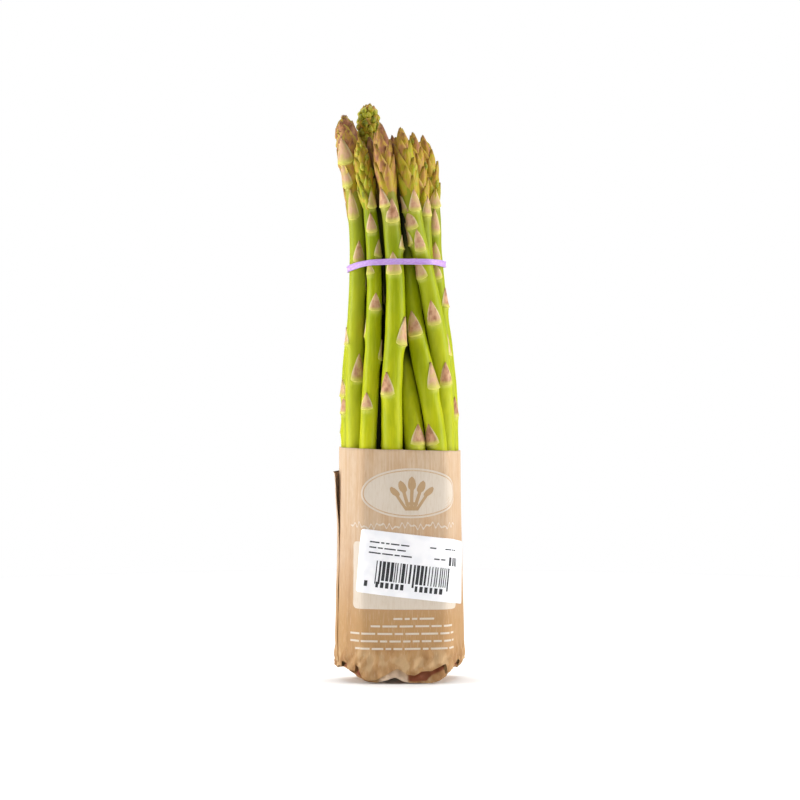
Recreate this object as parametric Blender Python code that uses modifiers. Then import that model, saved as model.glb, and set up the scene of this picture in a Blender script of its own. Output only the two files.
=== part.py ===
"""A bundle of green asparagus: tied spears standing in a folded kraft-paper sleeve with a label.

Frame: metres, +Z up along the spears, origin in the middle of the flat bottom, label towards -Y.
"""

import math
from dataclasses import dataclass

import bmesh
import bpy
import numpy as np

MM = 0.001

# --- driving dimensions -------------------------------------------------------------------------
BUNDLE_HEIGHT = 258.0 * MM  # top of the tallest spear
STALK_DIAMETER = 9.2 * MM  # a middling stalk where it leaves the sleeve
SLEEVE_HEIGHT = 104.0 * MM
PAPER_THICKNESS = 0.3 * MM
FOLD_HEIGHT = 7.0 * MM  # the sleeve's bottom is folded in below this
TIE_HEIGHT = 186.0 * MM  # middle of the rubber band on the front
TIE_WIDTH = 3.0 * MM
TIE_THICKNESS = 1.0 * MM
TIE_DROOP = 2.8 * MM  # how far the band hangs lower round the left end
LABEL_WIDTH = 60.0 * MM
LABEL_HEIGHT = 28.0 * MM
LABEL_THICKNESS = 0.2 * MM
LABEL_TURN = math.radians(-6.8)
LABEL_MIDDLE = (11.0 * MM, 51.0 * MM)  # (round the sleeve from the front's middle, up)

# --- clearances ---------------------------------------------------------------------------------
SPEAR_GAP = 0.35 * MM  # between neighbouring spears
PAPER_GAP = 0.4 * MM  # spears to sleeve
TIE_GAP = 0.3 * MM  # spears to band
LABEL_GAP = 0.3 * MM  # sleeve to label

# --- mesh fineness ------------------------------------------------------------------------------
LEVEL_STEP = 15.0 * MM  # a section this often up a spear
SPEAR_BEVEL_RESOLUTION = 3  # ten sides
OUTLINE_SIDES = 48
LABEL_CELLS = (24, 6)
SHARP_ANGLE = math.radians(35)

# --- how the spears make room for each other ----------------------------------------------------
SETTLE_ROUNDS = 400
RETURN_SHARE = 0.04  # of the way back to its course, each round
SMOOTHING_SHARE = 0.2  # of the way to the line between the levels above and below
SOFT_PUSH = 0.35  # share of an overlap that each neighbour gives way, while they settle
FULL_PUSH = 0.5  # the same at the end, when the two together clear it

# --- shapes -------------------------------------------------------------------------------------
# A stalk's thickness along its length, and its head's from the point down, both against its girth.
STALK_TAPER = ((0.0, 1.08), (0.40, 1.0), (0.58, 0.97), (0.72, 0.88), (0.80, 0.82))
HEAD_LENGTH = 34.0 * MM
HEAD_SHAPE = (
    (0.0, 0.10), (0.07, 0.36), (0.20, 0.66), (0.40, 0.93), (0.62, 0.98), (0.85, 0.86), (1.0, 0.82),
)

# The folded bottom, from the flat base up to the fold: share of FOLD_HEIGHT, width and depth.
FOLD_SHAPE = ((0.0, 0.62, 0.76), (0.40, 0.72, 0.90), (0.85, 0.84, 0.97))

# The foot of the bundle spreads this much wider than at the sleeve's mouth.
FOOT_SPREAD = 1.03


@dataclass(frozen=True)
class Spear:
    """One spear's thickness and course.

    girth is its thickness and x and y its places, all in stalk diameters; up is in bundle heights.
    The course runs from the sleeve's mouth to the point of the head.
    """

    girth: float
    course: tuple


SPEARS = (
    # the front of the bundle, from left to right
    Spear(0.93, ((-2.14, -0.62, 0.40), (-2.18, -0.62, 0.57), (-2.00, -0.50, 0.72),
                 (-2.14, -0.42, 0.82), (-2.74, -0.40, 0.974))),
    Spear(0.85, ((-1.56, -1.30, 0.40), (-1.28, -1.26, 0.57), (-1.20, -1.08, 0.72),
                 (-1.40, -1.06, 0.82), (-2.00, -1.08, 0.934))),
    Spear(1.06, ((-0.33, -1.32, 0.40), (-0.16, -1.32, 0.57), (-0.22, -1.22, 0.72),
                 (-0.52, -1.16, 0.82), (-0.87, -1.12, 0.957))),
    Spear(1.02, ((0.79, -1.28, 0.40), (-0.02, -0.46, 0.57), (-0.38, -0.34, 0.72),
                 (-0.94, -0.34, 0.82), (-1.60, -0.30, 0.937))),
    Spear(1.02, ((1.85, -1.08, 0.40), (0.96, -1.06, 0.57), (0.42, -0.44, 0.72),
                 (0.02, -0.38, 0.82), (-0.41, -0.34, 0.940))),
    Spear(1.04, ((2.16, -0.05, 0.40), (1.86, -0.80, 0.57), (1.08, -1.08, 0.72),
                 (0.47, -1.06, 0.82), (-0.17, -1.04, 0.950))),
    # the two sides
    Spear(0.92, ((2.42, 0.92, 0.40), (2.13, 0.34, 0.57), (1.60, 0.52, 0.72),
                 (1.50, 0.42, 0.82), (1.01, 0.24, 0.943))),
    Spear(0.94, ((-2.42, 0.36, 0.40), (-2.28, 0.36, 0.57), (-1.82, 0.54, 0.72),
                 (-1.90, 0.44, 0.82), (-1.96, 0.46, 0.905))),
    # the middle: two whose heads show over the others, and one that is hidden
    Spear(0.95, ((1.12, -0.22, 0.40), (1.26, 0.06, 0.57), (1.18, -0.20, 0.72),
                 (1.16, -0.46, 0.82), (0.44, -0.52, 0.945))),
    Spear(0.98, ((-1.05, -0.28, 0.40), (-1.10, -0.12, 0.57), (-1.10, 0.14, 0.72),
                 (-1.50, 0.10, 0.82), (-1.50, 0.16, 1.0))),
    Spear(0.94, ((0.06, -0.28, 0.40), (0.14, 0.48, 0.72), (-0.30, 0.56, 0.90))),
    # the back row, hidden from the front
    Spear(0.94, ((-1.42, 0.62, 0.40), (-1.62, 0.84, 0.57), (-1.20, 1.00, 0.72),
                 (-1.20, 0.86, 0.892))),
    Spear(0.98, ((1.44, 0.78, 0.40), (0.88, 0.70, 0.72), (0.66, 0.56, 0.905))),
    Spear(0.94, ((-0.46, 0.72, 0.40), (-0.14, 1.40, 0.72), (-0.72, 1.30, 0.912))),
    Spear(0.94, ((0.50, 0.74, 0.40), (0.66, 1.34, 0.72), (0.20, 1.26, 0.886))),
)

# --- finishes -----------------------------------------------------------------------------------
GREEN = ((0.36, 0.47, 0.03), 0.45)
KRAFT = ((0.58, 0.38, 0.20), 0.85)
WHITE = ((0.92, 0.92, 0.93), 0.55)
LILAC = ((0.58, 0.36, 0.74), 0.60)


def clear_scene():
    """Remove whatever the file holds."""
    for thing in list(bpy.data.objects):
        bpy.data.objects.remove(thing, do_unlink=True)


def finish(name, look):
    """A Principled material from a (colour, roughness) pair."""
    colour, roughness = look
    material = bpy.data.materials.new(name)
    material.use_nodes = True
    shader = material.node_tree.nodes["Principled BSDF"]
    shader.inputs["Base Color"].default_value = (*colour, 1.0)
    shader.inputs["Roughness"].default_value = roughness
    shader.inputs["Metallic"].default_value = 0.0
    return material


def smooth_path(stations, heights):
    """The x and y of a natural cubic through stations (x, y, z), held straight beyond its ends."""
    stations = np.asarray(stations, float)
    z = stations[:, 2]
    count = len(z)
    gaps = np.diff(z)
    system = np.eye(count)
    wanted = np.zeros((count, 2))
    for k in range(1, count - 1):
        system[k, k - 1 : k + 2] = gaps[k - 1], 2 * (gaps[k - 1] + gaps[k]), gaps[k]
        rises = (stations[k + 1, :2] - stations[k, :2]) / gaps[k]
        rises = rises - (stations[k, :2] - stations[k - 1, :2]) / gaps[k - 1]
        wanted[k] = 6 * rises
    bends = np.linalg.solve(system, wanted)
    places = []
    for height in np.clip(heights, z[0], z[-1]):
        k = min(int(np.searchsorted(z, height, side="right")) - 1, count - 2)
        low, high, gap = height - z[k], z[k + 1] - height, gaps[k]
        place = (bends[k] * high**3 + bends[k + 1] * low**3) / (6 * gap)
        place = place + (stations[k, :2] / gap - bends[k] * gap / 6) * high
        place = place + (stations[k + 1, :2] / gap - bends[k + 1] * gap / 6) * low
        places.append(place)
    return np.array(places)


def tip_height(spear):
    """How high a spear reaches."""
    return spear.course[-1][2] * BUNDLE_HEIGHT


def spear_radius(spear, height):
    """A spear's radius at a height: its stalk's taper, or its head's outline near the point."""
    tip = tip_height(spear)
    below = (tip - height) / HEAD_LENGTH
    if below < 1.0:
        factor = np.interp(below, *zip(*HEAD_SHAPE))
    else:
        factor = np.interp(height / tip, *zip(*STALK_TAPER))
    return 0.5 * spear.girth * STALK_DIAMETER * factor


def widest_near(spear, height):
    """A spear's radius at a level; round its head, the largest within half a level."""
    tip = tip_height(spear)
    nearby = height + np.array((-0.5, 0.0, 0.5)) * LEVEL_STEP
    if nearby[-1] < tip - HEAD_LENGTH:
        return spear_radius(spear, height)
    return max((spear_radius(spear, z) for z in nearby if z < tip), default=0.0)


def spear_levels():
    """The heights at which the spears are laid out."""
    return np.arange(0.0, BUNDLE_HEIGHT + LEVEL_STEP, LEVEL_STEP)


def wished_places(levels):
    """Where each spear's course would put it at each level, before the spears make room."""
    layout = np.zeros((len(levels), len(SPEARS), 2))
    scale = np.array((STALK_DIAMETER, STALK_DIAMETER, BUNDLE_HEIGHT))
    for index, spear in enumerate(SPEARS):
        course = np.array(spear.course) * scale
        foot = course[0] * (FOOT_SPREAD, FOOT_SPREAD, 0.0)
        halfway = (foot + course[0]) / 2
        layout[:, index] = smooth_path([foot, halfway, *course], levels)
    return layout


def push_apart(places, radii, share):
    """Move overlapping neighbours at one level away from each other by a share of their overlap."""
    offsets = places[:, None] - places[None]
    distances = np.linalg.norm(offsets, axis=2) + np.eye(len(places))
    wanted = radii[:, None] + radii[None] + SPEAR_GAP
    wanted[radii <= 0, :] = 0.0
    wanted[:, radii <= 0] = 0.0
    overlaps = np.clip(wanted - distances, 0.0, None)
    np.fill_diagonal(overlaps, 0.0)
    return places + share * (offsets / distances[:, :, None] * overlaps[:, :, None]).sum(axis=1)


def settle(levels):
    """Lay the spears out so that neighbours keep SPEAR_GAP at every level and stay smooth."""
    wished = wished_places(levels)
    radii = np.array([[widest_near(spear, z) for spear in SPEARS] for z in levels])
    layout = wished.copy()
    for turn in range(SETTLE_ROUNDS):
        layout += RETURN_SHARE * (wished - layout)
        smoothing = SMOOTHING_SHARE * (1.0 - turn / SETTLE_ROUNDS)
        layout[1:-1] += smoothing * (layout[:-2] + layout[2:] - 2 * layout[1:-1])
        for level in range(len(levels)):
            layout[level] = push_apart(layout[level], radii[level], SOFT_PUSH)
    for _ in range(SETTLE_ROUNDS):
        for level in range(len(levels)):
            layout[level] = push_apart(layout[level], radii[level], FULL_PUSH)
    reach = radii[0][:, None]
    middle = ((layout[0] - reach).min(axis=0) + (layout[0] + reach).max(axis=0)) / 2
    return layout - middle


LEVELS = spear_levels()
LAYOUT = settle(LEVELS)


def spear_place(index, height):
    """A spear's centre at a height, straight from one level to the next."""
    column = LAYOUT[:, index]
    return np.array([np.interp(height, LEVELS, column[:, axis]) for axis in (0, 1)])


def circles_at(height):
    """Every spear's (x, y, radius) at a height; a spear that ends lower is left out."""
    rows = []
    for index, spear in enumerate(SPEARS):
        if height < tip_height(spear):
            rows.append((*spear_place(index, height), spear_radius(spear, height)))
    return np.array(rows)


def outline(circles, margin):
    """A taut polygon round circles, a margin away: tangents at even angles, cut with each other."""
    angles = np.arange(OUTLINE_SIDES) * 2 * math.pi / OUTLINE_SIDES
    normals = np.stack((np.cos(angles), np.sin(angles)), axis=1)
    reach = (normals @ circles[:, :2].T + circles[:, 2]).max(axis=1) + margin
    nexts = np.roll(normals, -1, axis=0)
    further = np.roll(reach, -1)
    across = reach * nexts[:, 1] - further * normals[:, 1]
    along = further * normals[:, 0] - reach * nexts[:, 0]
    return np.stack((across, along), axis=1) / math.sin(2 * math.pi / OUTLINE_SIDES)


def sleeve_heights():
    """The heights of the sleeve's sections above its fold."""
    between = [z for z in LEVELS if FOLD_HEIGHT + PAPER_GAP < z < SLEEVE_HEIGHT - PAPER_GAP]
    return [FOLD_HEIGHT, *between, SLEEVE_HEIGHT]


def sleeve_sections(margin):
    """The sleeve's (height, polygon) sections from its base up, a margin outside the spears."""
    full = outline(circles_at(FOLD_HEIGHT), margin)
    sections = [(share * FOLD_HEIGHT, full * (width, depth)) for share, width, depth in FOLD_SHAPE]
    return sections + [(z, outline(circles_at(z), margin)) for z in sleeve_heights()]


def section_at(sections, height):
    """The polygon at a height between sections."""
    heights = [z for z, _ in sections]
    k = min(max(int(np.searchsorted(heights, height)), 1), len(heights) - 1)
    share = (height - heights[k - 1]) / (heights[k] - heights[k - 1])
    return (1 - share) * sections[k - 1][1] + share * sections[k][1]


def room_inside(polygon, point):
    """A point's distance inside a convex polygon, less than zero when it is outside."""
    edges = np.roll(polygon, -1, axis=0) - polygon
    inward = np.stack((-edges[:, 1], edges[:, 0]), axis=1) / np.linalg.norm(edges, axis=1)[:, None]
    return ((point - polygon) * inward).sum(axis=1).min()


def butt_height(index):
    """The lowest height at which a spear's cut end stands clear of the folded bottom."""
    sections = sleeve_sections(PAPER_GAP)
    height = PAPER_THICKNESS + PAPER_GAP
    while height < FOLD_HEIGHT + PAPER_GAP:
        radius = spear_radius(SPEARS[index], height)
        wall = section_at(sections, max(height - PAPER_THICKNESS - PAPER_GAP, 0.0))
        if room_inside(wall, spear_place(index, height)) > radius + PAPER_GAP:
            break
        height += PAPER_GAP
    return height


def add_object(name, data, material, collection):
    """Link a mesh or curve as an object with one material."""
    data.materials.append(material)
    thing = bpy.data.objects.new(name, data)
    collection.objects.link(thing)
    return thing


def make_spear(index, material, collection):
    """A spear as a bevelled curve with a radius at each point, butt to tip, ends filled."""
    spear = SPEARS[index]
    tip = tip_height(spear)
    butt = butt_height(index)
    head = [tip - share * HEAD_LENGTH for share, _ in HEAD_SHAPE]
    stalk = [z for z in LEVELS if butt + LEVEL_STEP / 3 < z < head[-1] - LEVEL_STEP / 3]
    heights = sorted([butt, *stalk, *head])
    curve = bpy.data.curves.new(f"spear_{index + 1:02d}", "CURVE")
    curve.dimensions = "3D"
    curve.twist_mode = "MINIMUM"
    curve.bevel_depth = 1.0
    curve.bevel_resolution = SPEAR_BEVEL_RESOLUTION
    curve.use_fill_caps = True
    spline = curve.splines.new("POLY")
    spline.points.add(len(heights) - 1)
    for point, height in zip(spline.points, heights):
        point.co = (*spear_place(index, height), height, 1.0)
        point.radius = spear_radius(spear, height)
    return add_object(curve.name, curve, material, collection)


def finished_mesh(name, bm):
    """A smooth-shaded mesh from a bmesh, with its folds kept sharp."""
    mesh = bpy.data.meshes.new(name)
    bm.to_mesh(mesh)
    bm.free()
    mesh.shade_smooth()
    mesh.set_sharp_from_angle(angle=SHARP_ANGLE)
    return mesh


def loft(name, rings, closed_floor):
    """A mesh of quads between rings of equal count, the first ring closed by a face if asked."""
    bm = bmesh.new()
    loops = [[bm.verts.new(corner) for corner in ring] for ring in rings]
    count = len(loops[0])
    for lower, upper in zip(loops, loops[1:]):
        for k in range(count):
            n = (k + 1) % count
            bm.faces.new((lower[k], lower[n], upper[n], upper[k]))
    if closed_floor:
        bm.faces.new(list(reversed(loops[0])))
    bmesh.ops.triangulate(bm, faces=[f for f in bm.faces if len(f.verts) == 4])
    return finished_mesh(name, bm)


def thicken(thing, thickness, outward):
    """Give an open surface its thickness, on the side its faces point to or the other one."""
    solidify = thing.modifiers.new("thickness", "SOLIDIFY")
    solidify.thickness = thickness
    solidify.offset = 1.0 if outward else -1.0
    solidify.use_even_offset = True


def make_sleeve(material, collection):
    """The paper sleeve: a cup that follows the spears, folded in to a flat base."""
    sections = sleeve_sections(PAPER_GAP + PAPER_THICKNESS)
    rings = [[(x, y, z) for x, y in polygon] for z, polygon in sections]
    sleeve = add_object("paper_sleeve", loft("paper_sleeve", rings, True), material, collection)
    thicken(sleeve, PAPER_THICKNESS, False)
    return sleeve


def make_band(material, collection):
    """The rubber band: a flat strip taut round the spears, hanging lower round its left end."""
    low, high = TIE_HEIGHT - TIE_DROOP - TIE_WIDTH / 2, TIE_HEIGHT + TIE_WIDTH / 2
    heights = [low, *[z for z in LEVELS if low < z < high], high]
    circles = np.concatenate([circles_at(z) for z in heights])
    polygon = outline(circles, TIE_GAP)
    left = polygon[:, 0].min()
    droop = [TIE_DROOP * (x / left) ** 4 if x < 0 else 0.0 for x, _ in polygon]
    rings = [
        [(x, y, TIE_HEIGHT - hang + side * TIE_WIDTH / 2) for (x, y), hang in zip(polygon, droop)]
        for side in (-1, 1)
    ]
    band = add_object("rubber_band", loft("rubber_band", rings, False), material, collection)
    thicken(band, TIE_THICKNESS, True)
    return band


def place_round(polygon, distance):
    """The point this far round a polygon from the middle of its front, to the right."""
    ring = np.vstack((polygon, polygon[:1]))
    runs = np.concatenate(([0.0], np.cumsum(np.linalg.norm(np.diff(ring, axis=0), axis=1))))
    front = next(k for k in range(len(polygon)) if ring[k, 0] <= 0 < ring[k + 1, 0])
    share = -ring[front, 0] / (ring[front + 1, 0] - ring[front, 0])
    along = (runs[front] + share * (runs[front + 1] - runs[front]) + distance) % runs[-1]
    return [np.interp(along, runs, ring[:, axis]) for axis in (0, 1)]


def make_label(material, collection):
    """The label: a slightly turned sheet that follows the sleeve round its right side."""
    sections = sleeve_sections(PAPER_GAP + PAPER_THICKNESS + LABEL_GAP)
    columns, rows = LABEL_CELLS
    bm = bmesh.new()
    bmesh.ops.create_grid(bm, x_segments=columns, y_segments=rows, size=0.5)
    for vert in bm.verts:
        across, up = vert.co.x * LABEL_WIDTH, vert.co.y * LABEL_HEIGHT
        distance = LABEL_MIDDLE[0] + across * math.cos(LABEL_TURN) - up * math.sin(LABEL_TURN)
        height = LABEL_MIDDLE[1] + across * math.sin(LABEL_TURN) + up * math.cos(LABEL_TURN)
        place = place_round(section_at(sections, height), distance)
        vert.co = (*place, height)
    bmesh.ops.triangulate(bm, faces=bm.faces)
    bmesh.ops.recalc_face_normals(bm, faces=bm.faces)
    label = add_object("label", finished_mesh("label", bm), material, collection)
    thicken(label, LABEL_THICKNESS, True)
    return label


def main():
    """Build the bundle."""
    clear_scene()
    collection = bpy.data.collections.new("asparagus_bundle")
    bpy.context.scene.collection.children.link(collection)
    green = finish("asparagus", GREEN)
    for index in range(len(SPEARS)):
        make_spear(index, green, collection)
    make_sleeve(finish("kraft_paper", KRAFT), collection)
    make_band(finish("rubber_band", LILAC), collection)
    make_label(finish("label_paper", WHITE), collection)


main()
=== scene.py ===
"""A tied bundle of green asparagus: fifteen spears in a printed kraft paper sleeve.

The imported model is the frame.  Every spear, the sleeve, its label and the rubber band are
rebuilt in their own solids' places, in metres, with the front of the bundle facing -Y.
"""

import logging
import math
from dataclasses import dataclass, field
from enum import Enum

import bpy
import numpy as np
from mathutils import Euler, Matrix, Vector


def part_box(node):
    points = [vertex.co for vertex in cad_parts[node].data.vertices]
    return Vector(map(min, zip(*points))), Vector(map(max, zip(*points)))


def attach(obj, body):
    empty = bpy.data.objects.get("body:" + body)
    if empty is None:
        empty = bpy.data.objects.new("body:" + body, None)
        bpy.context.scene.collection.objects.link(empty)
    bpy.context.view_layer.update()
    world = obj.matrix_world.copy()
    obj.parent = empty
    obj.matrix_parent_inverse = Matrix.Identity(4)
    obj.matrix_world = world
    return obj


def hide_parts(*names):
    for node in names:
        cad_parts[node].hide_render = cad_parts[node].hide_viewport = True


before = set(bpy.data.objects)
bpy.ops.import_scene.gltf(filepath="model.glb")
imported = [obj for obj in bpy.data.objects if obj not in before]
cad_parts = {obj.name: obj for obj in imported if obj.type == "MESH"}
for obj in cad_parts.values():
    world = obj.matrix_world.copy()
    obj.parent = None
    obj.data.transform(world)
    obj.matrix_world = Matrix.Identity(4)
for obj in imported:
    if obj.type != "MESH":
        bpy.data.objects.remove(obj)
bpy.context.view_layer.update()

LOG = logging.getLogger("asparagus_bundle")
MM = 0.001
GOLDEN_TURN = 137.508  # degrees from one scale leaf of a stem to the next


# ---------------------------------------------------------------- shared helpers


def linear(colour: str, alpha: float = 1.0) -> tuple[float, float, float, float]:
    """Turns an sRGB hex colour into the linear values that a shader socket takes.

    Args:
        colour: Six hex digits, with or without a leading #.
        alpha: The fourth value.

    Returns:
        Linear red, green and blue, and alpha.
    """
    digits = colour.lstrip("#")
    parts = [int(digits[i:i + 2], 16) / 255 for i in (0, 2, 4)]
    red, green, blue = (p / 12.92 if p <= 0.04045 else ((p + 0.055) / 1.055) ** 2.4 for p in parts)
    return red, green, blue, alpha


def add_node(
    tree: bpy.types.NodeTree,
    kind: str,
    settings: dict[str, object] | None = None,
    inputs: dict[str | int, object] | None = None,
) -> bpy.types.Node:
    """Adds a node with its settings, its values and its links.

    Args:
        tree: The tree that gets the node.
        kind: The node's type name.
        settings: Properties of the node itself.
        inputs: Values or output sockets, by the input's name or number.

    Returns:
        The new node.
    """
    node = tree.nodes.new(kind)
    for name, value in (settings or {}).items():
        setattr(node, name, value)
    for name, value in (inputs or {}).items():
        if isinstance(value, bpy.types.NodeSocket):
            tree.links.new(value, node.inputs[name])
        else:
            node.inputs[name].default_value = value
    return node


def ramp(
    tree: bpy.types.NodeTree, factor: bpy.types.NodeSocket, stops: tuple[tuple[float, str], ...]
) -> bpy.types.NodeSocket:
    """Turns a value into a colour.

    Args:
        tree: The material's tree.
        factor: The value, 0 to 1.
        stops: Places and hex colours, from low to high.

    Returns:
        The colour's socket.
    """
    node = add_node(tree, "ShaderNodeValToRGB", inputs={"Fac": factor})
    band = node.color_ramp
    while len(band.elements) < len(stops):
        band.elements.new(0.5)
    for element, (place, colour) in zip(band.elements, stops, strict=True):
        element.position, element.color = place, linear(colour)
    return node.outputs["Color"]


def attribute(tree: bpy.types.NodeTree, name: str) -> bpy.types.NodeSocket:
    """A number that a mesh stores at its points, as a socket."""
    return add_node(tree, "ShaderNodeAttribute", {"attribute_name": name}).outputs["Fac"]


def maths(
    tree: bpy.types.NodeTree, operation: str, *values: bpy.types.NodeSocket | float
) -> bpy.types.NodeSocket:
    """One sum of numbers and sockets, as a socket."""
    node = add_node(tree, "ShaderNodeMath", {"operation": operation}, dict(enumerate(values)))
    return node.outputs[0]


def placed(name: str, data: bpy.types.ID) -> bpy.types.Object:
    """Makes an object of the given data, in the scene."""
    made = bpy.data.objects.new(name, data)
    bpy.context.scene.collection.objects.link(made)
    return made


def applied(piece: bpy.types.Object) -> bpy.types.Mesh:
    """Takes an object's modifiers off and returns the mesh that they made, as plain data."""
    graph = bpy.context.evaluated_depsgraph_get()
    mesh = bpy.data.meshes.new_from_object(piece.evaluated_get(graph), depsgraph=graph)
    piece.modifiers.clear()
    return mesh


def mesh_object(
    name: str, points: np.ndarray, faces: list[tuple[int, ...]], sharp: float = 60.0
) -> bpy.types.Object:
    """Makes an object at the origin from points and faces, smooth but for its sharp edges.

    Args:
        name: The object's and its mesh's name.
        points: Places in metres, n x 3.
        faces: Point numbers of each face, seen anticlockwise from outside.
        sharp: The angle in degrees from which an edge stays crisp.

    Returns:
        The new object.
    """
    mesh = bpy.data.meshes.new(name)
    mesh.from_pydata(np.asarray(points, float).tolist(), [], faces)
    mesh.validate()
    mesh.polygons.foreach_set("use_smooth", [True] * len(mesh.polygons))
    mesh.set_sharp_from_angle(angle=math.radians(sharp))
    return placed(name, mesh)


def grid_faces(rows: int, columns: int, ring: bool, start: int = 0) -> list[tuple[int, ...]]:
    """Lists the quads of a grid of points kept row by row.

    Args:
        rows: Rows of points.
        columns: Points in a row.
        ring: Whether the last column joins the first.
        start: The first point's number.

    Returns:
        Faces that look outwards where the rows climb and the columns run anticlockwise.
    """
    last = columns if ring else columns - 1
    return [
        (
            start + r * columns + c,
            start + r * columns + (c + 1) % columns,
            start + (r + 1) * columns + (c + 1) % columns,
            start + (r + 1) * columns + c,
        )
        for r in range(rows - 1)
        for c in range(last)
    ]


def set_attribute(mesh: bpy.types.Mesh, name: str, values: np.ndarray) -> None:
    """Stores one number or one vector for each point of a mesh."""
    data = np.asarray(values, np.float32)
    kind, key = ("FLOAT_VECTOR", "vector") if data.ndim == 2 else ("FLOAT", "value")
    made = mesh.attributes.new(name, kind, "POINT")
    made.data.foreach_set(key, data.ravel())


def set_uv(mesh: bpy.types.Mesh, uv: np.ndarray) -> None:
    """Stores a UV map, given one pair for each point."""
    loops = np.empty(len(mesh.loops), np.int32)
    mesh.loops.foreach_get("vertex_index", loops)
    layer = mesh.uv_layers.new(name="UVMap")
    layer.data.foreach_set("uv", np.asarray(uv, np.float32)[loops].ravel())


def ease(value: np.ndarray | float) -> np.ndarray:
    """A smooth step from 0 to 1 over values 0 to 1."""
    t = np.clip(value, 0.0, 1.0)
    return t * t * (3 - 2 * t)


def wander(angle: np.ndarray, seed: int, waves: tuple[int, ...]) -> np.ndarray:
    """A smooth closed wave of about 1 in height, fixed by its seed.

    Args:
        angle: Where it is read, in turns or in any running length.
        seed: Which wave.
        waves: How many waves there are to a turn, for each part of the sum.

    Returns:
        The wave's height at each angle.
    """
    rng = np.random.default_rng(seed)
    total = np.zeros_like(np.asarray(angle, float))
    for count in waves:
        total = total + rng.uniform(0.5, 1.0) * np.sin(
            2 * math.pi * (count * np.asarray(angle) + rng.uniform())
        )
    return total / max(len(waves), 1) ** 0.5


def bump(distance: np.ndarray | float, width: float) -> np.ndarray | float:
    """A smooth hump of height 1 about distance 0."""
    return np.exp(-((distance / width) ** 2))


def bell(reach: int, width: float) -> np.ndarray:
    """Weights of a bell from -reach to reach, with a sum of 1."""
    weights = np.exp(-0.5 * (np.arange(-reach, reach + 1) / width) ** 2)
    return weights / weights.sum()


def smoothed(values: np.ndarray, width: float) -> np.ndarray:
    """Evens out rows of values with a bell of the given width in rows, ends held."""
    reach = int(width * 3)
    weights = bell(reach, width)
    padded = np.vstack((
        np.repeat(values[:1], reach, 0) * 2 - values[1:reach + 1][::-1],
        values,
        np.repeat(values[-1:], reach, 0) * 2 - values[-reach - 1:-1][::-1],
    ))
    return np.array([
        (padded[i:i + 2 * reach + 1] * weights[:, None]).sum(axis=0) for i in range(len(values))
    ])


def smoothed_ring(points: np.ndarray, reach: int, width: float) -> np.ndarray:
    """Evens out a closed run of points with a bell of the given width in points."""
    shifts = range(-reach, reach + 1)
    return sum(np.roll(points, -k, axis=0) * w for k, w in zip(shifts, bell(reach, width)))


def spaced(points: np.ndarray, count: int) -> np.ndarray:
    """Spaces a number of points evenly along a closed run of points."""
    closed = np.vstack((points, points[:1]))
    run = np.concatenate(([0], np.cumsum(np.linalg.norm(np.diff(closed, axis=0), axis=1))))
    share = np.arange(count) / count * run[-1]
    return np.stack([np.interp(share, run, column) for column in closed.T], 1)


def turned(x: np.ndarray, y: np.ndarray, degrees: float) -> tuple[np.ndarray, np.ndarray]:
    """Turns flat places anticlockwise about their origin."""
    cos, sin = math.cos(math.radians(degrees)), math.sin(math.radians(degrees))
    return x * cos - y * sin, x * sin + y * cos


def deliver(piece: bpy.types.Object, node: str, slot: str, *finishes: bpy.types.Material) -> None:
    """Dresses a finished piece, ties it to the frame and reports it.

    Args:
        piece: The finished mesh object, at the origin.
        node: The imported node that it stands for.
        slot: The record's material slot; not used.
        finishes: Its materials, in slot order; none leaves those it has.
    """
    if finishes:
        piece.data.materials.clear()
        for finish in finishes:
            piece.data.materials.append(finish)
    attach(piece, "root")
    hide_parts(node)
    LOG.info("%s: %d faces, stands for %s", piece.name, len(piece.data.polygons), node)


class CadSolid:
    """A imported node's triangles, cut with planes to find where the real piece runs."""

    def __init__(self, node: str) -> None:
        """Reads the node's triangles.

        Args:
            node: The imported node's name.
        """
        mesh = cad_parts[node].data
        mesh.calc_loop_triangles()
        points = np.empty(len(mesh.vertices) * 3)
        mesh.vertices.foreach_get("co", points)
        corners = np.empty(len(mesh.loop_triangles) * 3, np.int32)
        mesh.loop_triangles.foreach_get("vertices", corners)
        self.triangles = points.reshape(-1, 3)[corners].reshape(-1, 3, 3)
        self.low, self.high = (np.array(corner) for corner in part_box(node))

    def cut(self, place: np.ndarray, across: np.ndarray) -> np.ndarray:
        """Cuts the solid with a plane.

        Args:
            place: A point of the plane.
            across: The plane's normal.

        Returns:
            The cut's straight pieces, n x 2 x 3.
        """
        height = (self.triangles - place) @ across
        height = np.where(np.abs(height) < 1e-9, 1e-9, height)
        crossed = (height > 0).any(axis=1) & (height < 0).any(axis=1)
        pieces = []
        for corners, h in zip(self.triangles[crossed], height[crossed]):
            ends = [
                corners[i] + (corners[j] - corners[i]) * (h[i] / (h[i] - h[j]))
                for i, j in ((0, 1), (1, 2), (2, 0))
                if (h[i] > 0) != (h[j] > 0)
            ]
            pieces.append(ends)
        return np.array(pieces).reshape(-1, 2, 3)

    def level(self, z: float) -> np.ndarray:
        """Cuts the solid with a level plane at a height in metres."""
        return self.cut(np.array((0.0, 0.0, z)), np.array((0.0, 0.0, 1.0)))

    @staticmethod
    def middle(pieces: np.ndarray) -> tuple[np.ndarray, float]:
        """The middle of a cut's outline, weighted by length, and the outline's length."""
        lengths = np.linalg.norm(pieces[:, 1] - pieces[:, 0], axis=1)
        total = lengths.sum()
        return (pieces.mean(axis=1) * lengths[:, None]).sum(axis=0) / total, float(total)


# ---------------------------------------------------------------- finishes


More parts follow.
